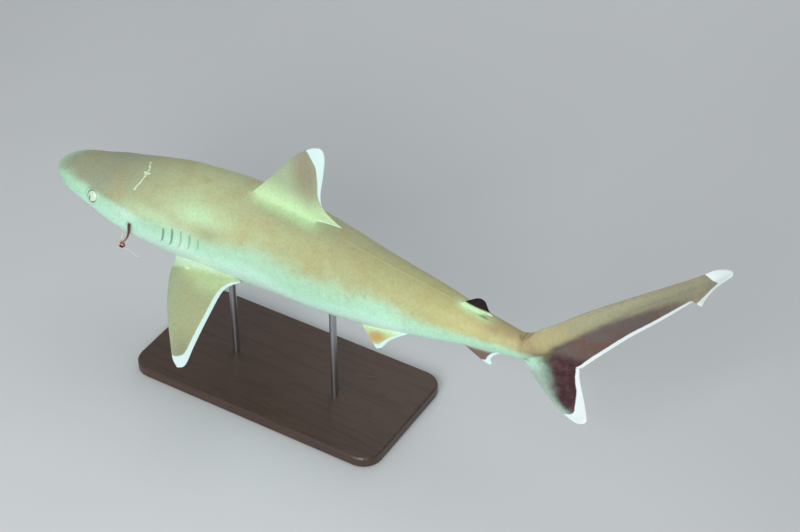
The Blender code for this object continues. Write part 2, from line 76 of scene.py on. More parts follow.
# ---------------------------------------------------------------- dimensions, as the CAD has them
PERCENT = 0.018
AXIS_HEIGHT = 0.45
BALANCE_STATION = 35.0
HEADING = ((0, -5), (22, -4.5), (45, 6.5), (64, 0), (74, -1), (86, -25.5), (100, -50))
TAIL_ROLL = ((0, 0), (68, 0), (80, -6.5), (100, -6.5))
GIRTH = (
    (0.0, 4.05, 2.40, 0.30, 1.70, 2.30),
    (3.5, 4.20, 2.90, 1.00, 1.30, 2.50),
    (7.2, 4.95, 3.60, 2.10, 0.60, 2.60),
    (11.0, 5.75, 4.50, 3.70, 0.15, 2.60),
    (15.0, 6.30, 5.35, 5.00, 0.00, 2.40),
    (20.0, 6.65, 6.10, 6.10, 0.00, 2.25),
    (26.0, 6.55, 6.40, 6.85, 0.00, 2.20),
    (32.0, 6.30, 6.60, 7.35, 0.00, 2.25),
    (40.0, 5.65, 6.00, 7.20, 0.00, 2.25),
    (50.0, 4.80, 4.90, 5.90, 0.00, 2.15),
    (60.0, 3.60, 3.80, 3.65, 0.00, 2.00),
    (67.0, 2.20, 2.55, 2.50, 0.00, 2.00),
    (73.5, 1.30, 1.50, 1.95, 0.00, 2.00),
)
BACK_SQUARENESS = 2.1
SNOUT_WIDTH_ROUNDING = 5.2
SNOUT_HEIGHT_ROUNDING = 3.2

FIRST_DORSAL = dict(
    origin=31.6, root_thickness=1.05, tip_thickness=0.22,
    leading=((-1.8, -0.9), (-0.3, 0.5), (1.1, 2.1), (3.3, 4.9), (6.4, 8.9), (8.3, 10.8), (9.4, 11.7),
             (10.3, 12.15)),
    trailing=((9.6, -0.9), (9.8, 0.3), (13.85, 1.4), (13.85, 1.4), (12.5, 1.85), (11.3, 2.4),
              (10.6, 3.1), (10.4, 4.1), (10.5, 5.5), (10.9, 7.7), (11.25, 10.4), (11.2, 11.6),
              (10.85, 12.15), (10.3, 12.15)))
SECOND_DORSAL = dict(
    origin=64.0, root_thickness=0.5, tip_thickness=0.14,
    leading=((-0.8, -0.7), (0, 0.1), (1.4, 1.4), (2.2, 2.1), (2.8, 2.35)),
    trailing=((2.9, -0.7), (3.0, 0.1), (4.5, 0.45), (4.5, 0.45), (3.9, 1.1), (3.6, 1.75), (3.3, 2.25),
              (2.8, 2.35)))
ANAL = dict(
    origin=63.6, root_thickness=0.55, tip_thickness=0.14,
    leading=((-0.8, -0.7), (0, 0.1), (2.3, 1.75), (3.9, 2.75), (4.7, 3.0)),
    trailing=((3.8, -0.7), (3.9, 0.1), (6.7, 0.2), (6.7, 0.2), (5.4, 1.1), (4.8, 2.0), (5.0, 2.7),
              (4.7, 3.0)))
PECTORAL = dict(
    origin=21.6, root_thickness=1.0, tip_thickness=0.2, side=5.4, level=-4.9, droop=20, pitch=0,
    leading=((-0.5, -1.5), (-0.4, 0), (0.0, 2.4), (1.6, 6.0), (3.6, 9.3), (5.4, 11.9), (6.8, 13.8),
             (8.0, 14.75)),
    trailing=((6.2, -1.5), (6.4, -0.5), (10.0, 0.05), (10.0, 0.05), (8.95, 0.9), (8.3, 1.9),
              (8.15, 3.2), (8.2, 5.0), (8.4, 8.5), (8.65, 11.5), (8.9, 13.5), (8.75, 14.4),
              (8.0, 14.75)))
PELVIC = dict(
    origin=49.8, root_thickness=0.6, tip_thickness=0.16, side=2.4, level=-4.5, droop=30, pitch=-12,
    leading=((-0.3, -0.9), (0.1, 0), (2.2, 1.5), (4.2, 2.85), (5.0, 3.35)),
    trailing=((4.6, -0.9), (4.8, 0.0), (8.2, 0.3), (8.2, 0.3), (7.0, 1.1), (6.1, 2.0), (5.7, 3.0),
              (5.0, 3.35)))
TAIL_ROOT = 73.5
TAIL_UPPER = dict(
    leading=((-0.98, 1.62), (0.2, 1.9), (1.5, 3.4), (4.5, 6.3), (8, 9.6), (12.3, 12.6), (16.6, 14.85),
             (20.3, 16.4), (21.7, 17.0), (22.9, 16.95), (23.7, 16.6), (23.95, 16.15)),
    trailing=((-0.98, -2.02), (7.2, -1.0), (7.2, -1.0), (9.5, 2.0), (12.9, 5.95), (16.2, 8.95),
              (19.4, 11.85), (19.8, 12.0), (20.85, 11.0), (20.85, 11.0), (21.2, 12.4), (22.25, 14.2),
              (23.75, 15.65), (23.95, 16.15)))
TAIL_LOWER = dict(
    leading=((-0.75, -2.025), (0, -2.85), (1.2, -5.0), (2.7, -7.3), (4.4, -9.5), (5.9, -10.85),
             (6.9, -11.4), (7.55, -11.5)),
    trailing=((7.15, -1.04), (7.1, -2.3), (7.3, -3.9), (7.8, -6.6), (8.3, -9.9), (8.25, -10.9),
              (7.55, -11.5)))
TAIL_MARGIN = ((-0.98, 1.62), (1.5, 3.4), (8, 9.6), (12.3, 12.6), (16.6, 14.85), (20.3, 16.4),
               (21.7, 17.0), (22.9, 16.95), (23.95, 16.15), (22.25, 14.2), (21.2, 12.4),
               (20.85, 11.0), (19.6, 12.0), (16.2, 8.95), (12.9, 5.95), (9.5, 2.0), (7.2, -1.0),
               (7.1, -2.3), (7.3, -3.9), (7.8, -6.6), (8.3, -9.9), (7.55, -11.5), (5.9, -10.85),
               (4.4, -9.5), (2.7, -7.3), (1.2, -5.0), (0, -2.85), (-0.98, -2.02))
TAIL_WEB = 0.3
TAIL_TAPER = 1.6
TAIL_CORE = ((-0.98, -0.2, 1.82, 1.42), (2.5, 1.9, 1.7, 0.95), (6, 5.5, 1.4, 0.7),
             (12, 10.9, 0.95, 0.45), (18, 14.3, 0.6, 0.28), (22, 15.9, 0.3, 0.17))
FLARE_REACH = 1.3
FLARE_SPREAD = 0.28

EYE = dict(station=8.1, level=1.33, radius=0.98, depth=0.62, sunk=0.34)
MOUTH = dict(front=8.6, corner=14.0, half_width=5.4)   # wider than the jaw solid, to the skin
GILLS = dict(first=19.9, spacing=1.38, count=5, above=1.7, below=-1.9, lean=0.2)
HOOK_PATH = ((14.6, 5.4, -0.2), (14.75, 6.45, -0.5), (14.8, 6.75, -1.4), (14.35, 6.8, -2.6),
             (13.5, 6.8, -3.65))
TAG_PATH = ((13.45, 6.8, -3.9), (13.5, 6.8, -3.1), (13.95, 6.8, -1.75))
HOOK_WIRE = (0.0036, 0.0021)
HOOK_RING = 0.0058
RING_WIRE = 0.0026
STUB_PATH = ((13.5, 6.8, -4.25), (14.7, 6.8, -4.6), (16.0, 6.8, -5.25))
STUB_WIRE = 0.0014

FLESH = ("head", "lower_jaw", "gill_region", "trunk_front", "trunk_rear", "tail_stock",
         "first_dorsal_fin", "second_dorsal_fin", "anal_fin", "pectoral_fin_left",
         "pectoral_fin_right", "pelvic_fin_left", "pelvic_fin_right", "caudal_fin_upper_lobe",
         "caudal_fin_lower_lobe")

# ---------------------------------------------------------------- fineness of the skin
AROUND = 384                    # points round a ring of the body
FIN_EDGE = 0.03                 # percent, half thickness of a fin's edge
BOX_MARGIN = 0.0001             # metres, how far the skin stays inside the CAD's box
FIN_SPANS = 90
FIN_CHORDS = 56
TAIL_SPANS = 170                # rings of the upper tail lobe, the body's last ring among them
SUNK_RINGS = 12                 # rings of the lower lobe that lie inside the flesh
EYE_GAP = 0.0003                # metres, clearance between the skin and an eyeball
SEAM_REACH = 0.010              # metres, how far from a fin's joint the skin is rounded
SEAM_PASSES = 26
EYE_REACH = 0.04                # metres, the skin round each eye that isn't rounded
EYE_RINGS, EYE_TURNS = 48, 96
SOCKET_RINGS, SOCKET_TURNS = 34, 64
SHANK_STEPS = 90
TAG_STEPS = 30
STUB_STEPS = 160
STUB_TWISTS = 8                 # turns of the stub's three strands
RING_TURNS, RING_SIDES = 72, 24     # points round the hook's ring and round its wire
FLOOR_REACH = 40                # metres, half the width of the floor


# ---------------------------------------------------------------- curves
def eased(table, station, column=1):
    """One column of a table at the given stations, along a smooth curve without overshoot."""
    table = np.asarray(table, float)
    x, y = table[:, 0], table[:, column]
    step = np.diff(x)
    slope = np.diff(y) / step
    tangent = np.concatenate([slope[:1], np.zeros(len(x) - 2), slope[-1:]])
    for i in range(1, len(x) - 1):
        if slope[i - 1] * slope[i] > 0:
            before, after = 2 * step[i] + step[i - 1], step[i] + 2 * step[i - 1]
            tangent[i] = (before + after) / (before / slope[i - 1] + after / slope[i])
    station = np.clip(station, x[0], x[-1])
    i = np.clip(np.searchsorted(x, station, side="right") - 1, 0, len(step) - 1)
    t = (station - x[i]) / step[i]
    rise = y[i] * (1 + 2 * t) * (1 - t) ** 2 + y[i + 1] * t * t * (3 - 2 * t)
    return rise + step[i] * t * (1 - t) * (tangent[i] * (1 - t) - tangent[i + 1] * t)


def through(points, count, even=None):
    """Points on a smooth curve through the given ones, sharp where one is doubled."""
    points = np.asarray(points, float)
    padded = np.vstack([2 * points[0] - points[1], points, 2 * points[-1] - points[-2]])
    t = np.linspace(0, 1, 16, endpoint=False)[:, None]
    runs = []
    for a, b, c, d in zip(padded, padded[1:], padded[2:], padded[3:]):
        if np.allclose(b, c):
            continue
        runs.append(b + t * (c - a) / 2 + t ** 2 * (a - 2.5 * b + 2 * c - d / 2)
                    + t ** 3 * (1.5 * (b - c) + (d - a) / 2))
    fine = np.vstack(runs + [points[-1:]])
    length = np.concatenate([[0], np.cumsum(np.linalg.norm(np.diff(fine, axis=0), axis=1))])
    at = (np.linspace(0, 1, count) if even is None else even) * length[-1]
    return np.stack([np.interp(at, length, fine[:, k]) for k in range(fine.shape[1])], 1)


def swimming_axis():
    station = np.linspace(0, 100, 401)
    heading = np.radians(eased(HEADING, station))
    middle = (heading[1:] + heading[:-1]) / 2
    run = PERCENT * (station[1] - station[0])
    x = np.concatenate([[0], np.cumsum(np.cos(middle) * run)])
    y = np.concatenate([[0], np.cumsum(-np.sin(middle) * run)])
    return station, x - np.interp(BALANCE_STATION, station, x), \
        y - np.interp(BALANCE_STATION, station, y), heading


AXIS = swimming_axis()


def bend(points, rigid_at=None):
    """World position of body-space points. A rigid piece takes the axis of one station."""
    points = np.asarray(points, float)
    station, x, y, heading = AXIS
    at = points[..., 0] if rigid_at is None else np.full(points.shape[:-1], float(rigid_at))
    roll = np.radians(eased(TAIL_ROLL, at))
    along = (points[..., 0] - at) * PERCENT
    left = (points[..., 1] * np.cos(roll) - points[..., 2] * np.sin(roll)) * PERCENT
    up = (points[..., 1] * np.sin(roll) + points[..., 2] * np.cos(roll)) * PERCENT
    angle = np.interp(at, station, heading)
    return np.stack([np.interp(at, station, x) + along * np.cos(angle) - left * np.sin(angle),
                     np.interp(at, station, y) - along * np.sin(angle) - left * np.cos(angle),
                     AXIS_HEIGHT + up], -1)


def smooth(low, high, value):
    """0 below low, 1 above high, and a smooth rise between them."""
    t = np.clip((value - low) / (high - low), 0, 1)
    return t * t * (3 - 2 * t)


def hump(value, width):
    return np.exp(-(value / width) ** 2)


def patch(station, middle, length, up, level, height):
    """A soft oval patch on the flank."""
    return hump((station - middle) / length, 1) * hump(up - level, height)


def circle(count):
    """Angles of evenly spaced points on a circle."""
    return np.linspace(0, 2 * math.pi, count, endpoint=False)


def distance_to(path, points):
    """Distance of each point from a line through the path, and where along the line it is."""
    start, run = path[:-1, :2], np.diff(path[:, :2], axis=0)
    best = np.full(len(points), 1e9)
    where = np.zeros(len(points))
    for number, (a, r) in enumerate(zip(start, run)):
        share = np.clip(((points - a) @ r) / max(r @ r, 1e-12), 0, 1)
        gap = np.linalg.norm(points - a - share[:, None] * r, axis=1)
        closer = gap < best
        best = np.where(closer, gap, best)
        where = np.where(closer, number + share, where)
    return best, where


# ---------------------------------------------------------------- body
def rounding(station, length):
    return np.sqrt(1 - (1 - np.clip(station / length, 0, 1)) ** 2)


def girth(station):
    """Half width, height of the back and depth of the belly from the widest line, its level."""
    level = eased(GIRTH, station, 4)
    height = rounding(station, SNOUT_HEIGHT_ROUNDING)
    width = eased(GIRTH, station, 1) * rounding(station, SNOUT_WIDTH_ROUNDING)
    back = (eased(GIRTH, station, 2) - level) * height
    belly = (eased(GIRTH, station, 3) + level) * height
    return width, back, belly, level


def signed_power(value, power):
    return np.sign(value) * np.abs(value) ** power


def skin_point(station, angle):
    """Body-space point of the plain skin. Angle 0 is the left flank and 90 degrees the back."""
    width, back, belly, level = girth(station)
    upper = np.sin(angle) >= 0
    power = 2 / np.where(upper, BACK_SQUARENESS, eased(GIRTH, station, 5))
    side, rise = (signed_power(wave(angle), power) for wave in (np.cos, np.sin))
    return np.stack([station + 0 * side, width * side, level + np.where(upper, back, belly) * rise], -1)


def skin_angle(station, level):
    """Angle of the skin point at a level, on the left flank."""
    _, back, belly, middle = girth(station)
    above = level >= middle
    power = 2 / (BACK_SQUARENESS if above else eased(GIRTH, station, 5))
    share = abs(level - middle) / (back if above else belly)
    return math.asin(min(share, 1) ** (1 / power)) * (1 if above else -1)


def skin_at(station, level):
    """Body-space point of the skin on the left flank at a level."""
    return skin_point(np.float64(station), np.float64(skin_angle(station, level)))


def ring_stations():
    """Ring stations, closest together on the snout's tip, the mouth and the gill slits."""
    snout = 3.0 * np.linspace(0, 1, 46) ** 2
    parts = [snout, np.arange(3.1, 7.6, 0.1), np.arange(7.6, 15.6, 0.065),
             np.arange(15.6, 18.8, 0.12), np.arange(18.8, 26.8, 0.042),
             np.arange(26.8, 70.0, 0.26), np.linspace(70.0, 72.5, 22)]
    return np.concatenate(parts)


def tail_thickness(points):
    """Half thickness of the tail fin: a thin web, with the flesh of the upper lobe in it."""
    inside, _ = distance_to(np.array(TAIL_MARGIN + TAIL_MARGIN[:1], float), points)
    web = FIN_EDGE + (TAIL_WEB - FIN_EDGE) * smooth(-0.6, TAIL_TAPER, inside)
    core = through(TAIL_CORE, 40)
    off, at = distance_to(core, points)
    half_height, half_thickness = (np.interp(at, np.arange(40), core[:, k]) for k in (2, 3))
    roundness = 0.5 + 0.4 * smooth(0, 8, at)
    flesh = half_thickness * np.clip(1 - (off / half_height) ** 2, 0, 1) ** roundness
    return (web ** 3 + flesh ** 3) ** (1 / 3)


def tail_rings(angles):
    """Rings of the upper lobe, which carry on from the body's last ring."""
    steps = np.linspace(0, 1, TAIL_SPANS)[1:]
    leading = through(TAIL_UPPER["leading"], 0, steps)
    trailing = through(TAIL_UPPER["trailing"], 0, steps)
    share = (1 - np.sin(angles)) / 2
    line = leading[:, None] + share[None, :, None] * (trailing - leading)[:, None]
    half = tail_thickness(line.reshape(-1, 2)).reshape(line.shape[:2])
    side = np.sign(np.cos(angles)) * np.clip(np.abs(np.cos(angles)) * 14, 0, 1) ** 0.5
    side[np.abs(np.cos(angles)) < 1e-9] = 0
    root = smooth(0.10, 0.0, steps)[:, None]
    half = half * (side * (1 - root) + np.sign(np.cos(angles)) * root)
    return np.stack([TAIL_ROOT + line[..., 0], half, line[..., 1]], -1)


# ---------------------------------------------------------------- relief of the head and body
GILL_SHADE = (0.8, 0.8, 0.35, 0.4, 0.2)     # how dark each slit looks
# How much shorter each slit is than the longest: (below, above)
SLIT_ENDS = ((0.2, 0.3), (0, 0), (0, 0), (0.15, 0.1), (0.5, 0.5))


def eye_distance(place):
    """Distance from the nearer eye's middle on the skin, in percent."""
    centre = skin_at(EYE["station"], EYE["level"])
    mirrored = place * (1, 0, 1) + np.abs(place) * (0, 1, 0)
    return np.linalg.norm(mirrored - centre, axis=-1)


def slit_line(number, up):
    """Station of a gill slit at a level."""
    share = np.clip((up - GILLS["below"]) / (GILLS["above"] - GILLS["below"]), 0, 1)
    return GILLS["first"] + GILLS["spacing"] * number + GILLS["lean"] * up + 0.3 * np.sin(np.pi * share)


def gill_relief(place):
    """Each slit: a flap that swells and then drops into a groove. Returns relief and the darkness of
    the slits' painted shade.
    """
    station, _, up = np.moveaxis(place, -1, 0)
    relief = np.zeros(station.shape)
    depth = np.zeros(station.shape)
    for number in range(GILLS["count"]):
        behind = station - slit_line(number, up)
        low = GILLS["below"] + SLIT_ENDS[number][0]
        high = GILLS["above"] - SLIT_ENDS[number][1]
        along = smooth(low, low + 0.7, up) * smooth(high, high - 0.7, up)
        flap = 0.075 * np.exp(np.clip(behind, None, 0) / 0.42) * smooth(0.05, -0.02, behind)
        groove = smooth(-0.02, 0.06, behind) * np.exp(-np.clip(behind - 0.06, 0, None) / 0.2)
        relief += along * (flap - 0.26 * groove)
        line = GILL_SHADE[number] * smooth(-0.05, 0.03, behind) * hump(behind - 0.05, 0.13)
        depth = np.maximum(depth, along * line)
    return relief, depth


def mouth_relief(place):
    """Groove of the mouth with its lips, and the furrows at its corners."""
    station, left, up = place[..., 0], np.abs(place[..., 1]), place[..., 2]
    share = left / MOUTH["half_width"]
    reach = MOUTH["corner"] - MOUTH["front"]
    arch = MOUTH["front"] + reach * share ** 2.3
    slope = 2.3 * reach * share ** 1.3 / MOUTH["half_width"]
    behind = (station - arch) / np.sqrt(1 + slope ** 2)
    level = girth(station)[3]
    under = smooth(-0.6, -1.2, up - level) * smooth(1.06, 0.98, share)
    groove = hump(behind, 0.12)
    lips = 0.07 * hump(behind + 0.27, 0.2) + 0.09 * hump(behind - 0.27, 0.2)
    inset = 0.10 * smooth(0, 0.5, behind) * smooth(3.2, 0.8, behind)
    corner = np.array(skin_at(MOUTH["corner"] + 0.15, -2.6))
    furrow_end = np.array(skin_at(12.9, -2.3))
    flat = np.stack([station, left, up], -1).reshape(-1, 3)
    run = furrow_end - corner
    along = np.clip((flat - corner) @ run / (run @ run), 0, 1)
    off = np.linalg.norm(flat - corner - along[:, None] * run, axis=1).reshape(station.shape)
    relief = under * (lips - 0.24 * groove - inset) - 0.14 * hump(off, 0.12)
    # the second value is the darkness of the painted shade in the mouth's groove and corner furrows
    return relief, np.maximum(under * hump(behind, 0.1), 0.7 * hump(off, 0.1))


def nostril_relief(place):
    """Slanting nostrils under the snout, each with a small flap on its front edge."""
    left = np.abs(place[..., 1])
    flat = np.stack([place[..., 0], left], -1).reshape(-1, 2)
    under = smooth(0.1, -0.3, place[..., 2] - girth(place[..., 0])[3])
    path = np.array(((3.75, 3.35), (3.85, 2.9), (4.25, 2.45), (4.5, 2.0)))
    off, at = (v.reshape(left.shape) for v in distance_to(through(path, 20), flat))
    opening = hump(off, 0.16 + 0.08 * smooth(12, 0, at))
    flap = hump(np.hypot(place[..., 0] - 3.85, left - 2.35), 0.3)
    # the second value is the darkness of the painted shade in each nostril
    return under * (0.12 * flap - 0.34 * opening + 0.05 * hump(off - 0.35, 0.15)), under * opening


def body_relief(place):
    """Outward relief in percent, and the darkness of the painted shade in slits and grooves."""
    station, left, up = np.moveaxis(place, -1, 0)
    gills, slit = gill_relief(place)
    mouth, lip = mouth_relief(place)
    nose, hole = nostril_relief(place)
    level = girth(station)[3]
    eye = eye_distance(place)
    rim = 0.10 * hump(eye - 1.02, 0.17) - 0.05 * hump(eye - 1.45, 0.25)
    brow = 0.16 * patch(station, 8.4, 2.2, up, 2.75, 0.55)
    ridge = 0.05 * hump(left, 0.17) * smooth(44.5, 47, station) * smooth(63.8, 62, station)
    ridge = ridge * (up > level)
    pit = hump(station - 72.6 - 0.5 * np.abs(left), 0.16) * hump(left, 0.75)
    pit = 0.2 * pit * (0.7 * (up > 0) + 0.4 * (up < 0))
    cheek = 0.10 * patch(station, 12.5, 2.3, up, -1.2, 1.4)
    hollow = 0.10 * patch(station, 17.0, 1.3, up, 0.2, 2.4)
    shoulder = 0.12 * patch(station, 28.5, 2.0, up, -2.0, 2.2)
    relief = gills + mouth + nose + rim + brow + ridge - pit + cheek - hollow + shoulder
    return relief, np.maximum(np.maximum(slit, lip), hole)


def outward(place):
    """Unit normals of a grid of rings, pointing away from the axis."""
    along = np.gradient(place, axis=0)
    around = (np.roll(place, -1, axis=1) - np.roll(place, 1, axis=1)) / 2
    normal = np.cross(along, around)
    normal /= np.maximum(np.linalg.norm(normal, axis=-1, keepdims=True), 1e-12)
    radial = place - place.mean(axis=1, keepdims=True)
    return normal * np.where((normal * radial).sum(-1, keepdims=True) < 0, -1, 1)


def body_grid():
    """Rings of the body and the upper tail lobe, with their relief. Also the painted shade of slits and
    grooves.
    """
    angles = circle(AROUND)
    stations = ring_stations()
    body = skin_point(stations[:, None] + np.zeros(AROUND), angles[None, :])
    place = np.concatenate([body, tail_rings(angles)])
    relief, depth = body_relief(place)
    fade = smooth(0.0, 0.8, place[..., 0])
    count = len(stations)
    fade[count:] *= smooth(3.0, 1.0, place[count:, :, 0] - 72.5)
    moved = place + outward(place) * (relief * fade)[..., None]
    return moved, depth


# ---------------------------------------------------------------- fins
def root_flare(fin, line):
    closeness = np.clip(1 - line[:, 1] / (fin["root_thickness"] * FLARE_REACH), 0, 1.4)
    return fin["root_thickness"] * FLARE_SPREAD * closeness ** 2


def chord_steps():
    """Shares of the chord from the leading to the trailing edge, closest together at both."""
    return (1 - np.cos(np.linspace(0, math.pi, FIN_CHORDS))) / 2


def foil(fin, place):
    """A fin's points, as (left half, right half) of each ring, and their places on its outline."""
    leading = through(fin["leading"], FIN_SPANS)
    trailing = through(fin["trailing"], FIN_SPANS)
    chord = chord_steps()
    bulge = 10 * (0.2969 * np.sqrt(chord) - 0.1260 * chord - 0.3516 * chord ** 2
                  + 0.2843 * chord ** 3 - 0.1036 * chord ** 4)
    rings, lines = [], []
    for v, (front, rear) in enumerate(zip(leading, trailing)):
        line = front + chord[:, None] * (rear - front)
        share = 1 - v / (FIN_SPANS - 1)
        taper = (fin["root_thickness"] - fin["tip_thickness"]) * share ** 1.3
        half = np.maximum(bulge * (fin["tip_thickness"] + taper) / 2, FIN_EDGE)
        half = half + root_flare(fin, line)
        rings.append(np.vstack([place(line, half), place(line, -half)[::-1]]))
        lines.append(np.vstack([line, line[::-1]]))
    return rings, np.vstack(lines)


def median_place(fin, upright):
    def place(line, half):
        station = fin["origin"] + line[:, 0]
        _, back, belly, level = girth(station)
        edge = level + back if upright > 0 else belly - level
        return np.stack([station, half, upright * (edge + line[:, 1])], -1)
    return place


def paired_place(fin, side):
    droop, pitch = math.radians(fin["droop"]), math.radians(fin["pitch"])

    def place(line, half):
        back, out = line[:, 0], line[:, 1]
        left = side * (fin["side"] + out * math.cos(droop) + half * math.sin(droop))
        up = fin["level"] - out * math.sin(droop) - back * math.tan(pitch) + half * math.cos(droop)
        return np.stack([fin["origin"] + back, left, up], -1)
    return place


def lower_lobe():
    """Rings of the lower tail lobe, reaching up into the body and the upper lobe."""
    steps = np.linspace(0, 1, FIN_SPANS)
    leading = through(TAIL_LOWER["leading"], 0, steps)
    trailing = through(TAIL_LOWER["trailing"], 0, steps)
    sunk = np.linspace(1, 0, SUNK_RINGS, endpoint=False)[:, None]
    leading = np.vstack([leading[0] + sunk * (1.3, 1.1), leading])
    trailing = np.vstack([trailing[0] + sunk * (-1.2, 1.1), trailing])
    chord = chord_steps()
    rings, lines = [], []
    for v, (front, rear) in enumerate(zip(leading, trailing)):
        line = front + chord[:, None] * (rear - front)
        half = tail_thickness(line)
        if v < SUNK_RINGS:
            half = half * (1 - 0.45 * sunk[v]) + 0.02
        else:
            half = half + 0.02 * max(0, 1 - (v - SUNK_RINGS) / 10)
        for sign, order in ((1, 1), (-1, -1)):
            rings.append(np.column_stack([TAIL_ROOT + line[:, 0], sign * half, line[:, 1]])[::order])
        lines.append(np.vstack([line, line[::-1]]))
    return [np.vstack(rings[k:k + 2]) for k in range(0, len(rings), 2)], np.vstack(lines)


# ---------------------------------------------------------------- markings and painted light and shade, as fields on the skin
# Upper edge of the pale band along the flank: (station, level)
PALE_BAND = ((0, 1.8), (3.6, 1.95), (6.5, 1.8), (9, 1.6), (11.5, 1.45), (13.8, 1.25), (16, 0.95),
             (19, 0.75), (21, 0.95), (23.5, 0.65), (26, 0.2), (28, 0.1), (32, 0.3), (36, 0.0),
             (39, -0.9), (43, -1.4), (47, -0.9), (51, 0.1), (55, 0.7), (59, 0.1), (63, -0.3),
             (66, -0.5), (70, -0.5), (73, -0.6), (76, -0.8))
# How softly the band fades into the back above it: (station, height)
BAND_FADE = ((0, 0.75), (8, 0.8), (14, 0.9), (17, 1.3), (21, 1.8), (26, 1.8), (31, 2.6), (38, 4.2),
             (46, 4.0), (52, 2.6), (58, 1.8), (66, 1.3), (72, 0.9), (76, 0.8))
# Front edge of the white on each fin, outwards: (back, out)
DORSAL_WHITE = ((13.9, 1.5), (12.4, 2.0), (11.2, 2.65), (10.35, 3.4), (9.98, 4.5), (9.98, 6.4),
                (9.92, 8.0), (9.7, 9.1), (9.25, 9.8), (8.75, 10.5), (8.2, 10.8), (6.5, 11.2))
PECTORAL_WHITE = ((10.0, 0.1), (8.75, 0.65), (7.95, 1.55), (7.6, 2.6), (7.55, 4.0), (7.64, 6.0),
                  (7.74, 8.8), (7.95, 11.9), (7.9, 12.75), (7.5, 13.15), (6.9, 13.4), (5.5, 13.5))
PELVIC_WHITE = ((8.3, 0.2), (6.9, 0.85), (5.8, 1.7), (5.2, 2.5), (4.8, 2.8), (3.6, 2.9))
LOWER_LOBE_WHITE = ((6.75, -0.7), (6.65, -1.6), (6.6, -2.6), (6.65, -3.8), (6.85, -5.1), (6.8, -6.7),
                    (6.7, -8.1), (6.65, -9.0), (6.2, -9.75), (5.4, -10.15), (4.2, -10.35))
ANAL_WHITE = ((6.8, 0.1), (5.2, 0.8), (4.35, 1.7), (4.1, 2.3), (3.3, 2.6))
# The scar on the head, the wound and the small spots: (station, left, level)
SCAR = ((14.65, 4.15, 4.07), (15.05, 2.9, 4.84), (15.2, 1.7, 5.21), (14.95, 0.6, 5.31),
        (14.55, -0.15, 5.27))
WOUND = (14.7, 6.2, -0.45)
SCAR_SPOTS = ((15.0, 1.75, 5.2), (15.5, 1.65, 5.27), (14.75, 1.45, 5.18), (14.3, -0.7, 5.15))


def signed_distance(path, points, inside):
    """Distance from a path, positive where inside says so."""
    off, _ = distance_to(np.array(path), points)
    return np.where(inside, off, -off)


def behind_line(path, lines):
    """Distance behind a line that climbs a fin. Negative in front of it."""
    fine = through(path, 120)
    order = np.argsort(fine[:, 1])
    edge = np.interp(lines[:, 1], fine[order, 1], fine[order, 0])
    return signed_distance(fine, lines, lines[:, 0] > edge)


def beyond(lines, point, towards):
    """Distance beyond a straight edge through a point, along a direction."""
    towards = np.array(towards) / np.hypot(*towards)
    return (lines - point) @ towards


def dorsal_white(lines):
    inner, _ = distance_to(np.array(((9.9, 0.45), (13.85, 1.4))), lines)
    return np.maximum(behind_line(DORSAL_WHITE, lines), 0.13 - inner)


def fin_white(kind, lines):
    """White of a fin by its kind. The second dorsal has none."""
    if kind == 1:
        return dorsal_white(lines)
    if kind == 2:
        return np.full(len(lines), -9.0)
    return behind_line({3: ANAL_WHITE, 4: PECTORAL_WHITE, 5: PELVIC_WHITE}[kind], lines)


def tail_white(lines):
    """White margins of both lobes, on the outline's (back, up)."""
    upper = through(TAIL_UPPER["trailing"], 400)
    corners = ((7.2, -1.0), (19.4, 11.85), (20.85, 11.0))
    fork, notch, flap = (np.argmin(np.hypot(*(upper - corner).T)) for corner in corners)
    off, at = distance_to(upper[fork:notch], lines)
    edge = np.interp(at / (notch - fork), (0, 0.15, 0.6, 0.9, 1), (0.46, 0.56, 0.62, 0.56, 0.44)) - off
    off, at = distance_to(upper[flap:], lines)
    width = np.interp(at / (len(upper) - flap), (0, 0.12, 0.3, 0.6, 0.8), (1.0, 0.75, 0.48, 0.48, 0.9))
    end = width - off
    tip = beyond(lines, (21.25, 15.95), (0.69, 0.72))
    lower = np.minimum(behind_line(LOWER_LOBE_WHITE, lines), -0.7 - lines[:, 1])
    return np.maximum.reduce([edge, end, tip, lower])


def tail_dark(lines):
    """The dusky middle of the tail fin: (upper lobe, lower lobe)."""
    front, _ = distance_to(through(TAIL_UPPER["leading"], 160), lines)
    upper = smooth(1.5, 3.3, front) * smooth(22.5, 13.5, lines[:, 0])
    upper = upper * smooth(2.4, 5.0, lines[:, 0] + 0.25 * lines[:, 1])
    low_front, _ = distance_to(through(TAIL_LOWER["leading"], 120), lines)
    wide = np.interp(lines[:, 1], (-10, -8, -6.1, -3.75, -1, 1), (0.5, 0.85, 1.4, 2.1, 2.6, 3.2))
    lower = smooth(0.1 * wide, 2.0 * wide, low_front) * smooth(2.4, -0.8, lines[:, 1])
    return upper, lower * smooth(-10.6, -7.6, lines[:, 1])


def body_marks(place):
    """Pale and brown patches of the shoulder, the pale painted highlight round the dorsal fins' bases,
    and the scar on the head.
    """
    station, left, up = place.T
    flank = smooth(0, 2, left)
    wedge = patch(station, 25.2, 4.6, up, 3.9, 1.25)
    wedge = np.maximum(wedge, 0.85 * patch(station, 17.6, 4.0, up, 2.4, 0.95) * flank)
    smudge = patch(station, 27.2, 2.0, up, 2.2, 0.9) * flank
    # painted highlight: pale round the base of the first dorsal, and a smaller one by the second
    saddle = smooth(2.6, 0.7, np.abs(left)) * (up > 3)
    root_highlight = saddle * smooth(29.0, 33, station) * smooth(43.5, 40.0, station)
    small = smooth(1.3, 0.4, np.abs(left)) * (up > 1) * smooth(62.5, 65, station)
    root_highlight = np.maximum(root_highlight, small * smooth(70, 68, station))
    stroke = np.min([np.linalg.norm(place - p, axis=1) for p in through(SCAR, 40)], axis=0)
    spots = np.min([np.linalg.norm(place - p, axis=1) for p in np.array(SCAR_SPOTS)], axis=0)
    return wedge, smudge, root_highlight, np.maximum(0.12 - stroke, 0.2 - spots)


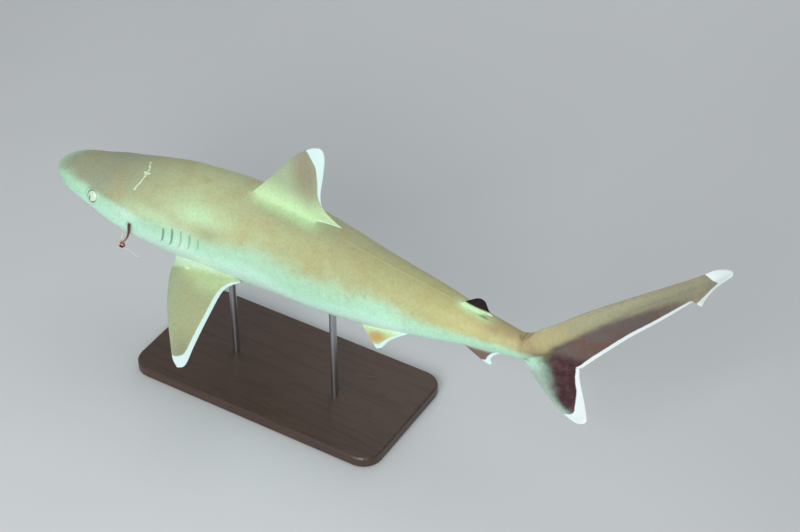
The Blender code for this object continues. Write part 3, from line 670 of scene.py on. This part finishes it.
def small_marks(place):
    """The bright cheek and gills, painted shade on the tail stock's top, and painted shade in the pits
    before the tail with the hook's wound.
    """
    station, left, up = place.T
    cheek = patch(station, 14.0, 1.7, up, 1.0, 0.75)
    gills = patch(station, 23.4, 1.5, up, -0.6, 1.3)
    bright = np.maximum(cheek, np.maximum(gills, patch(station, 26.2, 1.6, up, -3.2, 1.4)))
    # painted shade: brown on top of the tail stock
    stalk_shade = smooth(66.5, 69.5, station) * smooth(76.0, 73.5, station) * smooth(0.7, 1.7, up)
    # painted shade: dark in the pits before the tail, beside the second dorsal's free tip and under the
    # tail's root; the wound at the hook is dark in its own right
    pit = hump(station - 72.75 - 0.5 * np.abs(left), 0.22) * hump(left, 0.8) * (up > 0)
    slit = hump(station - 67.4, 0.75) * hump(np.abs(left) - 0.35, 0.16) * (up > 0)
    under = hump(station - 73.1, 0.9) * hump(left, 1.2) * hump(up + 2.0, 0.35)
    wound = hump(np.linalg.norm(place - WOUND, axis=1), 0.42)
    return bright, stalk_shade, np.maximum.reduce([pit, 0.7 * slit, 0.6 * under, 0.85 * wound])


# ---------------------------------------------------------------- meshes
def mesh_object(name, vertices, faces):
    mesh = bpy.data.meshes.new(name)
    mesh.from_pydata(np.asarray(vertices).tolist(), [], faces)
    shell = bmesh.new()
    shell.from_mesh(mesh)
    bmesh.ops.recalc_face_normals(shell, faces=shell.faces)
    shell.to_mesh(mesh)
    shell.free()
    piece = bpy.data.objects.new(name, mesh)
    bpy.context.scene.collection.objects.link(piece)
    return piece


def ring_faces(rings, around, caps=(True, True)):
    """Quads between rings of points, with flat ends where they are asked for."""
    r, i = np.meshgrid(np.arange(rings - 1), np.arange(around), indexing="ij")
    j = (i + 1) % around
    quads = np.stack([r * around + i, r * around + j, (r + 1) * around + j,
                      (r + 1) * around + i], -1).reshape(-1, 4).tolist()
    if caps[0]:
        quads.append(list(range(around)))
    if caps[1]:
        quads.append(list(range((rings - 1) * around, rings * around)))
    return quads


def attribute(piece, name, values):
    kind = "FLOAT_VECTOR" if np.ndim(values) == 2 else "FLOAT"
    made = piece.data.attributes.new(name, kind, "POINT")
    made.data.foreach_set("vector" if np.ndim(values) == 2 else "value",
                          np.asarray(values, np.float32).ravel())


def co_of(mesh):
    co = np.empty(len(mesh.vertices) * 3)
    mesh.vertices.foreach_get("co", co)
    return co.reshape(-1, 3)


def combined(base, others, operation):
    """Applies Boolean modifiers to base and removes the others."""
    for other in others:
        step = base.modifiers.new(operation.lower(), "BOOLEAN")
        step.operation = operation
        step.object = other
        step.solver = "MANIFOLD"
    graph = bpy.context.evaluated_depsgraph_get()
    made = bpy.data.meshes.new_from_object(base.evaluated_get(graph))
    base.modifiers.clear()
    base.data = made
    for other in others:
        bpy.data.objects.remove(other, do_unlink=True)
    return base


def skin_frame(station, level, side):
    """World point of the skin, and its outward, forward and upward directions."""
    mirror = np.array([1, side, 1])
    angle = skin_angle(station, level)
    here, ahead, above = (bend(skin_point(np.float64(s), np.float64(a)) * mirror) for s, a in (
        (station, angle), (station - 0.1, angle), (station, angle + 0.02)))
    forward = (ahead - here) / np.linalg.norm(ahead - here)
    up = (above - here) - forward * np.dot(above - here, forward)
    up /= np.linalg.norm(up)
    return here, np.cross(up, forward) * side, forward, up


def ball(name, side, grow, spans, turns):
    """An eyeball, flattened along the skin's outward direction and set into the head."""
    here, out, forward, up = skin_frame(EYE["station"], EYE["level"], side)
    centre = here - out * EYE["sunk"] * PERCENT
    radius, depth = (EYE[key] * PERCENT + grow for key in ("radius", "depth"))
    polar = np.linspace(0, math.pi, spans)[:, None, None]
    turn = circle(turns)[None, :, None]
    points = centre + out * depth * np.cos(polar) + radius * np.sin(polar) \
        * (forward * np.cos(turn) + up * np.sin(turn))
    disc = np.stack([np.sin(polar) * np.cos(turn), np.sin(polar) * np.sin(turn),
                     np.cos(polar) + 0 * turn], -1).reshape(-1, 3)
    flat = points.reshape(-1, 3)
    inner = flat[turns:-turns]
    vertices = np.vstack([flat[:1], inner, flat[-1:]])
    faces = [[a + 1 for a in f] for f in ring_faces(spans - 2, turns, (False, False))]
    last = len(vertices) - 1
    for i in range(turns):
        j = (i + 1) % turns
        faces.append([0, 1 + i, 1 + j])
        faces.append([last, last - turns + j, last - turns + i])
    piece = mesh_object(name, vertices, faces)
    return piece, np.vstack([disc[:1], disc[turns:-turns], disc[-1:]])


def tube(path, radius, sides):
    """Vertices and faces of a round bar along a path of world points."""
    ahead = np.gradient(path, axis=0)
    ahead /= np.linalg.norm(ahead, axis=1, keepdims=True)
    across = np.cross(ahead, (0.3, 1, 0.2))
    across /= np.linalg.norm(across, axis=1, keepdims=True)
    over = np.cross(ahead, across)
    turn = circle(sides)[None, :, None]
    radius = (np.zeros(len(path)) + radius)[:, None, None]
    points = path[:, None] + radius * (np.cos(turn) * across[:, None] + np.sin(turn) * over[:, None])
    return points.reshape(-1, 3), ring_faces(len(path), sides)


def eye_ring(centre, facing, radius, wire):
    """Vertices and faces of the ring at the end of the hook's shank."""
    facing = np.array(facing) / np.linalg.norm(facing)
    across = np.cross(facing, (0, 0, 1))
    across /= np.linalg.norm(across)
    over = np.cross(across, facing)
    turn = circle(RING_TURNS)[:, None, None]
    tilt = circle(RING_SIDES)[None, :, None]
    outward_way = across * np.cos(turn) + over * np.sin(turn)
    points = centre + outward_way * (radius + wire * np.cos(tilt)) + facing * wire * np.sin(tilt)
    quads = []
    for a in range(RING_TURNS):
        here, ahead = a * RING_SIDES, (a + 1) % RING_TURNS * RING_SIDES
        for i in range(RING_SIDES):
            j = (i + 1) % RING_SIDES
            quads.append([here + i, here + j, ahead + j, ahead + i])
    return points.reshape(-1, 3), quads


def make_hook():
    """The rusty hook: shank, ring, tag end and a stub of twisted wire, with what each point is on."""
    shank = bend(through(HOOK_PATH, SHANK_STEPS))
    share = np.clip(np.linspace(-0.4, 1.2, SHANK_STEPS), 0, 1)
    thickness = HOOK_WIRE[0] + (HOOK_WIRE[1] - HOOK_WIRE[0]) * share
    number = np.arange(SHANK_STEPS)
    pitting = 1 - 0.07 * (0.5 + 0.5 * np.sin(number * 1.7) * np.sin(number * 0.61))
    middle = shank[-1] + (0, 0, -HOOK_RING)
    bars = [(tube(shank, thickness * pitting, 28), 0),
            (eye_ring(middle, (0.4, -1, 0.1), HOOK_RING, RING_WIRE * 0.98), 1),
            (tube(bend(through(TAG_PATH, TAG_STEPS)), STUB_WIRE * 0.95, 16), 2)]
    stub = bend(through(STUB_PATH, STUB_STEPS))
    twist = np.linspace(0, STUB_TWISTS * 2 * math.pi, STUB_STEPS)[:, None]
    for start in (0, 2 * math.pi / 3, 4 * math.pi / 3):
        offset = np.cos(twist + start) * (0, 0, 1) + np.sin(twist + start) * (0.3, 0.95, 0)
        bars.append((tube(stub + offset * STUB_WIRE * 0.46, STUB_WIRE * 0.52, 12), 3))
    vertices, faces, parts, along = [], [], [], []
    count = 0
    for (points, quads), part in bars:
        vertices.append(points)
        faces += [[count + i for i in quad] for quad in quads]
        parts.append(np.full(len(points), float(part)))
        along.append(np.linspace(0, 1, len(points)))
        count += len(points)
    piece = mesh_object("rusty_hook", np.vstack(vertices), faces)
    attribute(piece, "part", np.concatenate(parts))
    attribute(piece, "along", np.concatenate(along))
    piece.data.shade_smooth()
    return piece


# ---------------------------------------------------------------- the skin
def make_skin():
    """The seamless skin, and per vertex the fields that its material reads."""
    sources = []
    place, depth = body_grid()
    rings = place.shape[0]
    flat = place.reshape(-1, 3)
    world = bend(flat)
    skin = mesh_object("shark_skin", world, ring_faces(rings, AROUND, (False, True)))
    shell = bmesh.new()
    shell.from_mesh(skin.data)
    bmesh.ops.remove_doubles(shell, verts=shell.verts, dist=1e-6)
    shell.to_mesh(skin.data)
    shell.free()
    tail = flat[:, 0] > 72.6
    lines = np.stack([flat[:, 0] - TAIL_ROOT, flat[:, 2]], -1)
    white = np.where(tail, tail_white(lines), -9)
    dusk = [np.where(tail, share, 0) for share in tail_dark(lines)]
    sources.append((world, flat, lines * tail[:, None], white, *dusk, depth.ravel(), 0 * white))

    fins = [("first_dorsal", FIRST_DORSAL, median_place(FIRST_DORSAL, 1), 1, None),
            ("second_dorsal", SECOND_DORSAL, median_place(SECOND_DORSAL, 1), 2, None),
            ("anal", ANAL, median_place(ANAL, -1), 3, None)]
    for side in (1, -1):
        fins.append(("pectoral", PECTORAL, paired_place(PECTORAL, side), 4, PECTORAL["origin"] + 3))
        fins.append(("pelvic", PELVIC, paired_place(PELVIC, side), 5, PELVIC["origin"] + 3))
    parts = []

    def add_fin(name, fin_rings, lines, white, darks, kind, rigid=None):
        flat = np.vstack(fin_rings)
        world = bend(flat, rigid)
        parts.append(mesh_object(name, world, ring_faces(len(fin_rings), len(fin_rings[0]))))
        none = np.zeros(len(flat))
        sources.append((world, flat, lines, white, *(darks or (none, none)), none, none + kind))

    for name, fin, where, kind, rigid in fins:
        fin_rings, lines = foil(fin, where)
        add_fin(name, fin_rings, lines, fin_white(kind, lines), None, kind, rigid)
    fin_rings, lines = lower_lobe()
    add_fin("lower_lobe", fin_rings, lines, tail_white(lines), tail_dark(lines), 0)
    sockets = [ball("socket", side, EYE_GAP, SOCKET_RINGS, SOCKET_TURNS)[0] for side in (1, -1)]
    combined(skin, sockets, "DIFFERENCE")
    combined(skin, parts, "UNION")
    return skin, sources


def nearest(points, co):
    """For each of co, the nearest point's number and distance."""
    tree = KDTree(len(points))
    for number, point in enumerate(points.tolist()):
        tree.insert(point, number)
    tree.balance()
    found = [tree.find(point)[1:] for point in co.tolist()]
    return np.array([f[0] for f in found]), np.array([f[1] for f in found])


def soften_seams(skin, off):
    """Rounds the joints between the fins and the body into each other."""
    mesh = skin.data
    co = co_of(mesh)
    eyes = [skin_frame(EYE["station"], EYE["level"], side)[0] for side in (1, -1)]
    far = np.min([np.linalg.norm(co - eye, axis=1) for eye in eyes], axis=0) > EYE_REACH
    _, gap = nearest(co[(off > 2e-5) & far], co)
    weight = (smooth(SEAM_REACH, 0.0, gap) * far)[:, None]
    edges = np.empty(len(mesh.edges) * 2, int)
    mesh.edges.foreach_get("vertices", edges)
    edges = edges.reshape(-1, 2)
    edges = edges[(weight[edges[:, 0], 0] > 0) | (weight[edges[:, 1], 0] > 0)]
    count = len(co)
    degree = np.bincount(edges.ravel(), minlength=count)[:, None]
    for _ in range(SEAM_PASSES):
        total = np.stack([np.bincount(edges[:, 0], co[edges[:, 1], k], count)
                          + np.bincount(edges[:, 1], co[edges[:, 0], k], count)
                          for k in range(3)], 1)
        mean = np.where(degree > 0, total / np.maximum(degree, 1), co)
        co = co + 0.6 * weight * (mean - co)
    low, high = (np.array(corner) for corner in cad_box)
    co = np.clip(co, low + BOX_MARGIN, high - BOX_MARGIN)
    mesh.vertices.foreach_set("co", co.ravel())
    mesh.update()


def mark_skin(skin, sources, number):
    """Writes the fields that the skin's material reads."""
    columns = [np.concatenate([s[k] for s in sources])[number] for k in range(1, 8)]
    place, lines, white, dusk, dark, depth, kind = columns
    station, up = place[:, 0], place[:, 2]
    band = up - eased(PALE_BAND, station)
    band = np.where(band > 0, band / eased(BAND_FADE, station), band)
    out = np.where(kind > 0, np.clip(lines[:, 1], 0, None), 0)
    wedge, smudge, root_highlight, scar = body_marks(place)
    # groove holds the painted shade of slits and grooves; shoulder and marks hold painted highlight and
    # shade beside real marks
    fields = dict(
        shoulder=np.column_stack([wedge, smudge, root_highlight]), scar=scar,
        marks=np.column_stack(small_marks(place)), place=place / 100,
        fin_place=np.column_stack([lines, out]) / 100, white=white, dusk=dusk, dark=dark,
        band=band, groove=depth, kind=kind)
    for name, values in fields.items():
        attribute(skin, name, values)


# ---------------------------------------------------------------- materials
def linear(red, green, blue):
    """Linear colour from 0-255 display values."""
    return tuple(c / 255 / 12.92 if c <= 10 else ((c / 255 + 0.055) / 1.055) ** 2.4
                 for c in (red, green, blue)) + (1.0,)


class Nodes:
    """Short calls for building a material's node tree."""

    def __init__(self, name):
        self.material = bpy.data.materials.new(name)
        self.material.use_nodes = True
        self.tree = self.material.node_tree
        self.shader = self.tree.nodes["Principled BSDF"]

    def feed(self, socket, value):
        if hasattr(value, "is_linked"):
            self.tree.links.new(value, socket)
        elif value is not None:
            socket.default_value = value

    def node(self, kind, inputs=(), **settings):
        made = self.tree.nodes.new(kind)
        for key, value in settings.items():
            setattr(made, key, value)
        for key, value in dict(inputs).items():
            self.feed(made.inputs[key], value)
        return made

    def field(self, name, output="Fac"):
        return self.node("ShaderNodeAttribute", attribute_name=name).outputs[output]

    def math(self, operation, a, b=None, c=None):
        made = self.tree.nodes.new("ShaderNodeMath")
        made.operation = operation
        for socket, value in zip(made.inputs, (a, b, c)):
            self.feed(socket, value)
        return made.outputs[0]

    def times(self, a, b):
        return self.math("MULTIPLY", a, b)

    def plus(self, a, b):
        return self.math("ADD", a, b)

    def minus(self, a, b):
        return self.math("SUBTRACT", a, b)

    def length(self, a, b):
        """Length of the flat vector (a, b)."""
        return self.math("SQRT", self.plus(self.times(a, a), self.times(b, b)))

    def parts(self, field):
        """The three numbers of a vector field."""
        return self.node("ShaderNodeSeparateXYZ", {"Vector": self.field(field, "Vector")}).outputs

    def step(self, low, high, value):
        """A smooth step of value from low to high, 0 to 1."""
        made = self.node("ShaderNodeMapRange", {"Value": value, "From Min": low, "From Max": high},
                         interpolation_type="SMOOTHSTEP")
        return made.outputs["Result"]

    def noise(self, scale, detail=3.0, rough=0.5, vector=None, distortion=0.0):
        made = self.node("ShaderNodeTexNoise", {"Scale": scale, "Detail": detail,
                                                "Roughness": rough, "Distortion": distortion})
        self.feed(made.inputs["Vector"], vector or self.objects())
        return made.outputs["Fac"]

    def cells(self, scale, vector=None, output="Distance"):
        made = self.node("ShaderNodeTexVoronoi", {"Scale": scale})
        self.feed(made.inputs["Vector"], vector or self.objects())
        return made.outputs[output]

    def objects(self):
        return self.node("ShaderNodeTexCoord").outputs["Object"]

    def stretched(self, x, y, z, vector=None):
        return self.node("ShaderNodeMapping", {"Vector": vector or self.objects(),
                                               "Scale": (x, y, z)}).outputs["Vector"]

    def mix(self, share, a, b, blend="MIX"):
        """Blend from a to b. A colour is a node's output or three 0-255 display values."""
        made = self.tree.nodes.new("ShaderNodeMix")
        made.data_type = "RGBA"
        made.blend_type = blend
        for name, value in (("Factor_Float", share), ("A_Color", a), ("B_Color", b)):
            socket = next(s for s in made.inputs if s.identifier == name)
            self.feed(socket, linear(*value) if isinstance(value, tuple) else value)
        return next(s for s in made.outputs if s.identifier == "Result_Color")

    def ramp(self, value, *stops):
        made = self.node("ShaderNodeValToRGB", {"Fac": value})
        elements = made.color_ramp.elements
        for number, (position, colour) in enumerate(stops):
            stop = elements[number] if number < 2 else elements.new(position)
            stop.position = position
            stop.color = linear(*colour)
        return made.outputs["Color"]

    def bump(self, height, distance, strength=1.0, normal=None):
        made = self.node("ShaderNodeBump", {"Height": height, "Distance": distance,
                                            "Strength": strength})
        self.feed(made.inputs["Normal"], normal)
        return made.outputs["Normal"]

    def finish(self, colour, roughness, normal=None, **constants):
        self.feed(self.shader.inputs["Base Color"], colour)
        self.feed(self.shader.inputs["Roughness"], roughness)
        self.feed(self.shader.inputs["Normal"], normal)
        for key, value in constants.items():
            self.shader.inputs[key.replace("_", " ")].default_value = value
        return self.material


def fin_colour(n, colour, kind, x, out):
    """Each fin's colours, with painted highlight on the dorsals' bases: x and out are its back and out,
    in percent.
    """
    def only(number):
        return n.math("COMPARE", kind, number, 0.5)

    def disc(at_x, at_out, wide, high):
        across = n.times(n.minus(x, at_x), 1 / wide)
        up = n.times(n.minus(out, at_out), 1 / high)
        return n.length(across, up)

    # painted highlight: the first dorsal pale at its base, fading out towards the tip
    front = n.mix(n.step(0.3, 4.6, out), (206, 240, 188), (174, 192, 156))
    dorsal = n.mix(n.step(1.5, 0.2, disc(8.2, 7.4, 2.6, 4.6)), front, (158, 154, 128))
    dorsal = n.mix(n.times(n.step(8.0, 12.0, out), 0.5), dorsal, (140, 144, 128))
    colour = n.mix(only(1), colour, n.mix(n.step(0.0, 0.4, out), colour, dorsal))
    rise = n.minus(out, n.times(x, 0.06))
    # painted highlight: the second dorsal pale along its base, dark above
    second = n.mix(n.step(0.35, 0.75, rise), (204, 234, 190), (20, 1, 3))
    colour = n.mix(only(2), colour, second)
    anal = n.mix(n.step(0.2, 1.2, out), colour, (128, 104, 92))
    colour = n.mix(only(3), colour, anal)
    blade = n.mix(n.step(0.5, 3.4, out), (196, 212, 160), (174, 180, 140))
    blade = n.mix(n.step(8.0, 13.5, out), blade, (152, 156, 126))
    edge = n.minus(x, n.times(out, 0.42))
    blade = n.mix(n.step(2.2, -0.4, edge), blade, (170, 182, 146))
    blade = n.mix(n.times(n.step(3.2, 5.0, x), n.step(4.5, 1.5, out)), blade, (190, 210, 160))
    root = n.plus(out, n.times(n.minus(x, 4.5), 0.12))
    pectoral = n.mix(n.step(0.0, 0.95, root), (202, 230, 194), blade)
    pectoral = n.mix(n.step(1.0, 0.5, disc(2.0, 0.85, 0.55, 0.28)), pectoral, (214, 240, 196))
    colour = n.mix(only(4), colour, pectoral)
    base = n.mix(n.step(0.55, 1.3, out), (216, 244, 218), (206, 222, 166))
    pelvic = n.mix(n.step(1.3, 0.35, disc(4.1, 1.9, 1.6, 0.9)), base, (204, 172, 114))
    colour = n.mix(only(5), colour, pelvic)
    facing = n.node("ShaderNodeSeparateXYZ", {
        "Vector": n.node("ShaderNodeNewGeometry").outputs["Normal"]}).outputs["Z"]
    below = n.times(n.step(3.4, 3.6, kind), n.step(-0.1, -0.5, facing))
    dusky = n.mix(n.step(9.0, 13.0, out), (210, 238, 222), (172, 178, 158))
    return n.mix(below, colour, dusky)


def skin_material():
    n = Nodes("shark_skin")
    along, _, up = n.parts("place")
    mottle = n.noise(13.0, 5, 0.6)
    fine = n.noise(70.0, 3, 0.6)
    spread = n.times(n.minus(n.noise(22.0, 5, 0.6), 0.5), 0.9)
    band = n.plus(n.field("band"), spread)
    back = n.ramp(along, (0.0, (168, 176, 148)), (0.10, (166, 176, 148)),
                  (0.16, (182, 190, 150)), (0.24, (194, 204, 156)),
                  (0.33, (188, 196, 148)), (0.50, (182, 186, 138)),
                  (0.62, (190, 190, 132)), (0.66, (200, 200, 140)),
                  (0.70, (196, 196, 142)), (0.75, (184, 178, 134)),
                  (0.80, (170, 168, 130)), (0.90, (154, 150, 120)),
                  (1.0, (156, 152, 128)))
    back = n.mix(n.times(n.step(0.45, 0.7, mottle), 0.55), back, (186, 172, 118))
    # painted shade: the top of the back darker from the first dorsal on, where light grazes it
    top = n.times(n.step(0.046, 0.062, up), n.step(0.26, 0.40, along))
    back = n.mix(n.times(top, 0.30), back, (150, 152, 138))
    pale = n.ramp(n.step(-4.4, 0.2, band), (0.0, (206, 236, 220)),
                  (0.35, (206, 245, 228)), (0.72, (196, 244, 218)),
                  (1.0, (184, 230, 198)))
    colour = n.mix(n.step(0.0, 1.1, band), pale, back)
    # the third shoulder field is painted highlight, pale round the dorsal fins' bases
    wedge, smudge, root_highlight = n.parts("shoulder")
    # of the marks, the second is painted shade on the tail stock's top, the third painted shade in pits
    # with the hook's wound
    bright, stalk_shade, painted_shade_and_wound = n.parts("marks")
    for share, most, tint in ((wedge, 0.85, (198, 236, 190)), (smudge, 0.8, (174, 182, 144)),
                              (root_highlight, 0.85, (206, 240, 188)), (bright, 0.75, (220, 250, 234)),
                              (stalk_shade, 0.65, (168, 146, 108))):
        colour = n.mix(n.times(share, most), colour, tint)
    fin_back, fin_up, fin_out = n.parts("fin_place")
    lobe = n.times(n.step(-0.015, -0.045, fin_up), 0.75)
    colour = n.mix(n.times(lobe, n.step(0.6, 0.4, n.field("kind"))), colour, (150, 176, 162))
    rusty = n.mix(n.step(0.35, 0.65, n.noise(26.0, 5, 0.65)), (104, 72, 66), (94, 86, 90))
    patchy = n.times(n.minus(n.noise(44.0, 5, 0.65), 0.5), 0.5)
    dusk = n.step(-0.05, 1.0, n.plus(n.field("dusk"), patchy))
    colour = n.mix(n.times(dusk, 0.92), colour, rusty)
    maroon = n.mix(n.step(0.4, 0.7, n.noise(34.0, 5, 0.65)), (62, 30, 38), (96, 66, 62))
    colour = n.mix(n.step(-0.05, 1.0, n.plus(n.field("dark"), patchy)), colour, maroon)
    # painted shade in the pits, beside the second dorsal's free tip and under the tail's root, with the
    # dark hook wound
    colour = n.mix(painted_shade_and_wound, colour, (84, 72, 44))
    colour = fin_colour(n, colour, n.field("kind"), n.times(fin_back, 100.0), n.times(fin_out, 100.0))
    grain = n.step(0.36, 0.72, n.noise(150.0, 5, 0.7))
    colour = n.mix(n.times(grain, 0.38), colour, (214, 208, 190), "MULTIPLY")
    ragged = n.times(n.minus(fine, 0.5), 0.16)
    edge = n.plus(n.field("white"), ragged)
    # painted light: the white margins lighter on the tail's lobes than on the other fins
    white_with_painted_light = n.mix(n.step(0.4, 0.6, n.field("kind")), (240, 251, 249), (218, 242, 240))
    colour = n.mix(n.step(-0.09, 0.09, edge), colour, white_with_painted_light)
    scratch = n.times(n.minus(n.noise(260.0, 4, 0.7), 0.5), 0.6)
    scar = n.plus(n.field("scar"), scratch)
    colour = n.mix(n.step(-0.03, 0.05, scar), colour, (226, 248, 220))
    # painted shade: dark in the gill slits, the mouth's groove and furrows, and the nostrils
    colour = n.mix(n.times(n.field("groove"), 0.85), colour, (104, 110, 88))
    normal = n.bump(n.cells(900.0), 0.0002, 0.35)
    normal = n.bump(n.noise(30.0, 5, 0.6), 0.0008, 0.4, normal)
    rays = n.noise(1.0, 3, 0.5, n.stretched(420, 420, 30, n.field("fin_place", "Vector")))
    on_fin = n.step(0.0, 0.004, fin_out)
    normal = n.bump(n.times(rays, on_fin), 0.0006, 0.3, normal)
    roughness = n.plus(n.times(fine, 0.16), 0.46)
    return n.finish(colour, roughness, normal, Specular_IOR_Level=0.3)


def eye_material():
    n = Nodes("shark_eye")
    x, y, _ = n.parts("disc")
    radius = n.length(x, y)
    across = n.math("DIVIDE", n.minus(x, 0.14), 0.10)
    along = n.math("DIVIDE", n.minus(y, -0.22), 0.40)
    slit = n.length(across, along)
    iris = n.mix(n.noise(260.0, 3, 0.6), (206, 232, 196), (236, 250, 228))
    lean = n.minus(n.times(x, 0.15), n.times(y, 0.11))
    rim = n.plus(radius, lean)
    spokes = n.noise(14.0, 3, 0.6, n.stretched(30, 30, 300))
    iris = n.mix(n.times(spokes, 0.25), iris, (170, 200, 168))
    iris = n.mix(n.step(0.66, 0.82, rim), iris, (88, 110, 82))
    colour = n.mix(n.step(1.15, 0.85, slit), iris, (74, 96, 70))
    return n.finish(colour, 0.12, None, Coat_Weight=1.0, Coat_Roughness=0.03)


def hook_material():
    n = Nodes("rust")
    part, along = n.field("part"), n.field("along")
    scale = n.noise(420.0, 5, 0.7)
    shank = n.mix(n.step(0.35, 0.9, along), (84, 38, 42), (158, 112, 100))
    shank = n.mix(n.step(0.5, 0.75, scale), shank, (128, 68, 44))
    ring = n.mix(n.step(0.35, 0.6, scale), (186, 96, 40), (120, 54, 26))
    # painted shade: the ring's lower part near black
    ring_painted_shade = n.times(n.step(0.56, 0.66, along), n.step(0.99, 0.93, along))
    ring = n.mix(ring_painted_shade, ring, (26, 12, 10))
    # painted highlight: a pale spot on the ring
    bright = n.times(n.step(0.02, 0.06, along), n.step(0.15, 0.10, along))
    ring = n.mix(bright, ring, (236, 200, 170))
    tag = n.mix(n.step(0.2, 0.5, along), (168, 112, 66), (226, 230, 196))
    colour = n.mix(n.step(0.4, 0.6, part), shank, ring)
    colour = n.mix(n.step(1.4, 1.6, part), colour, tag)
    colour = n.mix(n.step(2.4, 2.6, part), colour, (206, 216, 208))
    normal = n.bump(scale, 0.0004, 0.6)
    return n.finish(colour, n.plus(n.times(scale, 0.3), 0.45), normal)


def wood_material():
    n = Nodes("dark_wood")
    grain = n.noise(6.0, 5, 0.6, n.stretched(0.5, 6, 6), 0.6)
    pores = n.noise(40.0, 3, 0.6, n.stretched(1.0, 14, 14))
    colour = n.ramp(grain, (0.30, (52, 36, 28)), (0.50, (74, 52, 40)),
                    (0.62, (60, 41, 32)), (0.78, (84, 60, 46)))
    colour = n.mix(n.step(0.58, 0.72, pores), colour, (40, 27, 21))
    roughness = n.plus(n.times(pores, 0.2), 0.32)
    return n.finish(colour, roughness, n.bump(pores, 0.0003, 0.4), Coat_Weight=0.25, Coat_Roughness=0.3)


def steel_material():
    n = Nodes("brushed_steel")
    brushing = n.noise(60.0, 4, 0.7, n.stretched(2, 2, 30))
    colour = n.mix(brushing, (168, 168, 170), (200, 200, 202))
    roughness = n.plus(n.times(brushing, 0.22), 0.22)
    return n.finish(colour, roughness, n.bump(brushing, 0.0001, 0.4), Metallic=1.0)


def floor_material():
    n = Nodes("floor")
    tone = n.noise(1.5, 3, 0.5)
    colour = n.mix(tone, (208, 211, 213), (212, 215, 217))
    return n.finish(colour, 0.85)


def dress(piece, material):
    piece.data.materials.clear()
    piece.data.materials.append(material)


# ---------------------------------------------------------------- stage
def make_stage():
    corners = [(x * FLOOR_REACH, y * FLOOR_REACH, 0) for x, y in ((-1, -1), (1, -1), (1, 1), (-1, 1))]
    floor = mesh_object("floor", corners, [[0, 1, 2, 3]])
    dress(floor, floor_material())
    world = bpy.data.worlds.new("studio")
    bpy.context.scene.world = world
    world.use_nodes = True
    background = world.node_tree.nodes["Background"]
    background.inputs["Color"].default_value = (0.93, 0.97, 1.0, 1)
    background.inputs["Strength"].default_value = 0.40
    for name, spot, aim, size, power in (
            ("key", (0.9, -3.3, 2.2), (0.1, 0, 0.4), 2.4, 100),
            ("top", (-0.4, 0.9, 3.6), (0.1, 0, 0.4), 3.0, 18),
            ("fill", (-0.6, 3.6, 1.4), (0.1, 0, 0.4), 2.6, 14)):
        light = bpy.data.lights.new(name, "AREA")
        light.shape = "DISK"
        light.size = size
        light.energy = power
        lamp = bpy.data.objects.new(name, light)
        bpy.context.scene.collection.objects.link(lamp)
        lamp.location = spot
        lamp.rotation_euler = (Vector(aim) - Vector(spot)).to_track_quat("-Z", "Y").to_euler()


def make_camera():
    """A camera in front of the left flank, aimed near the middle of the body from the snout."""
    azimuth, elevation, distance = math.radians(31.0), math.radians(39.2), 4.734
    snout, aim = Vector(bend((0.0, 0.0, 0.0))), Vector((51.4, 5.8, 0))
    target = snout + aim * PERCENT
    back = Vector((math.sin(azimuth) * math.cos(elevation),
                   -math.cos(azimuth) * math.cos(elevation), math.sin(elevation)))
    lens = bpy.data.cameras.new("camera")
    lens.lens = 90
    lens.sensor_width = 36
    lens.clip_end = 50
    camera = bpy.data.objects.new("camera", lens)
    bpy.context.scene.collection.objects.link(camera)
    camera.location = target + back * distance
    camera.rotation_euler = back.to_track_quat("Z", "Y").to_euler()
    bpy.context.scene.camera = camera


# ---------------------------------------------------------------- all of it
def main():
    skin, sources = make_skin()
    points = np.concatenate([s[0] for s in sources])
    number, off = nearest(points, co_of(skin.data))
    soften_seams(skin, off)
    mark_skin(skin, sources, number)
    skin.data.shade_smooth()
    dress(skin, skin_material())
    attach(skin, "root")
    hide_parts(*FLESH)
    for side, word in ((1, "left"), (-1, "right")):
        eye, disc = ball("eyeball_" + word, side, 0.0, EYE_RINGS, EYE_TURNS)
        attribute(eye, "disc", disc)
        eye.data.shade_smooth()
        dress(eye, eye_material())
        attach(eye, "root")
        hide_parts("eye_" + word)
    hook = make_hook()
    dress(hook, hook_material())
    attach(hook, "root")
    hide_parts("hook")
    nodes = frame["nodes"]
    dress(nodes["stand_base"], wood_material())
    steel = steel_material()
    for name in ("stand_rod_front", "stand_rod_rear"):
        dress(nodes[name], steel)
    make_stage()
    make_camera()
    bpy.context.scene.view_settings.view_transform = "Standard"


main()
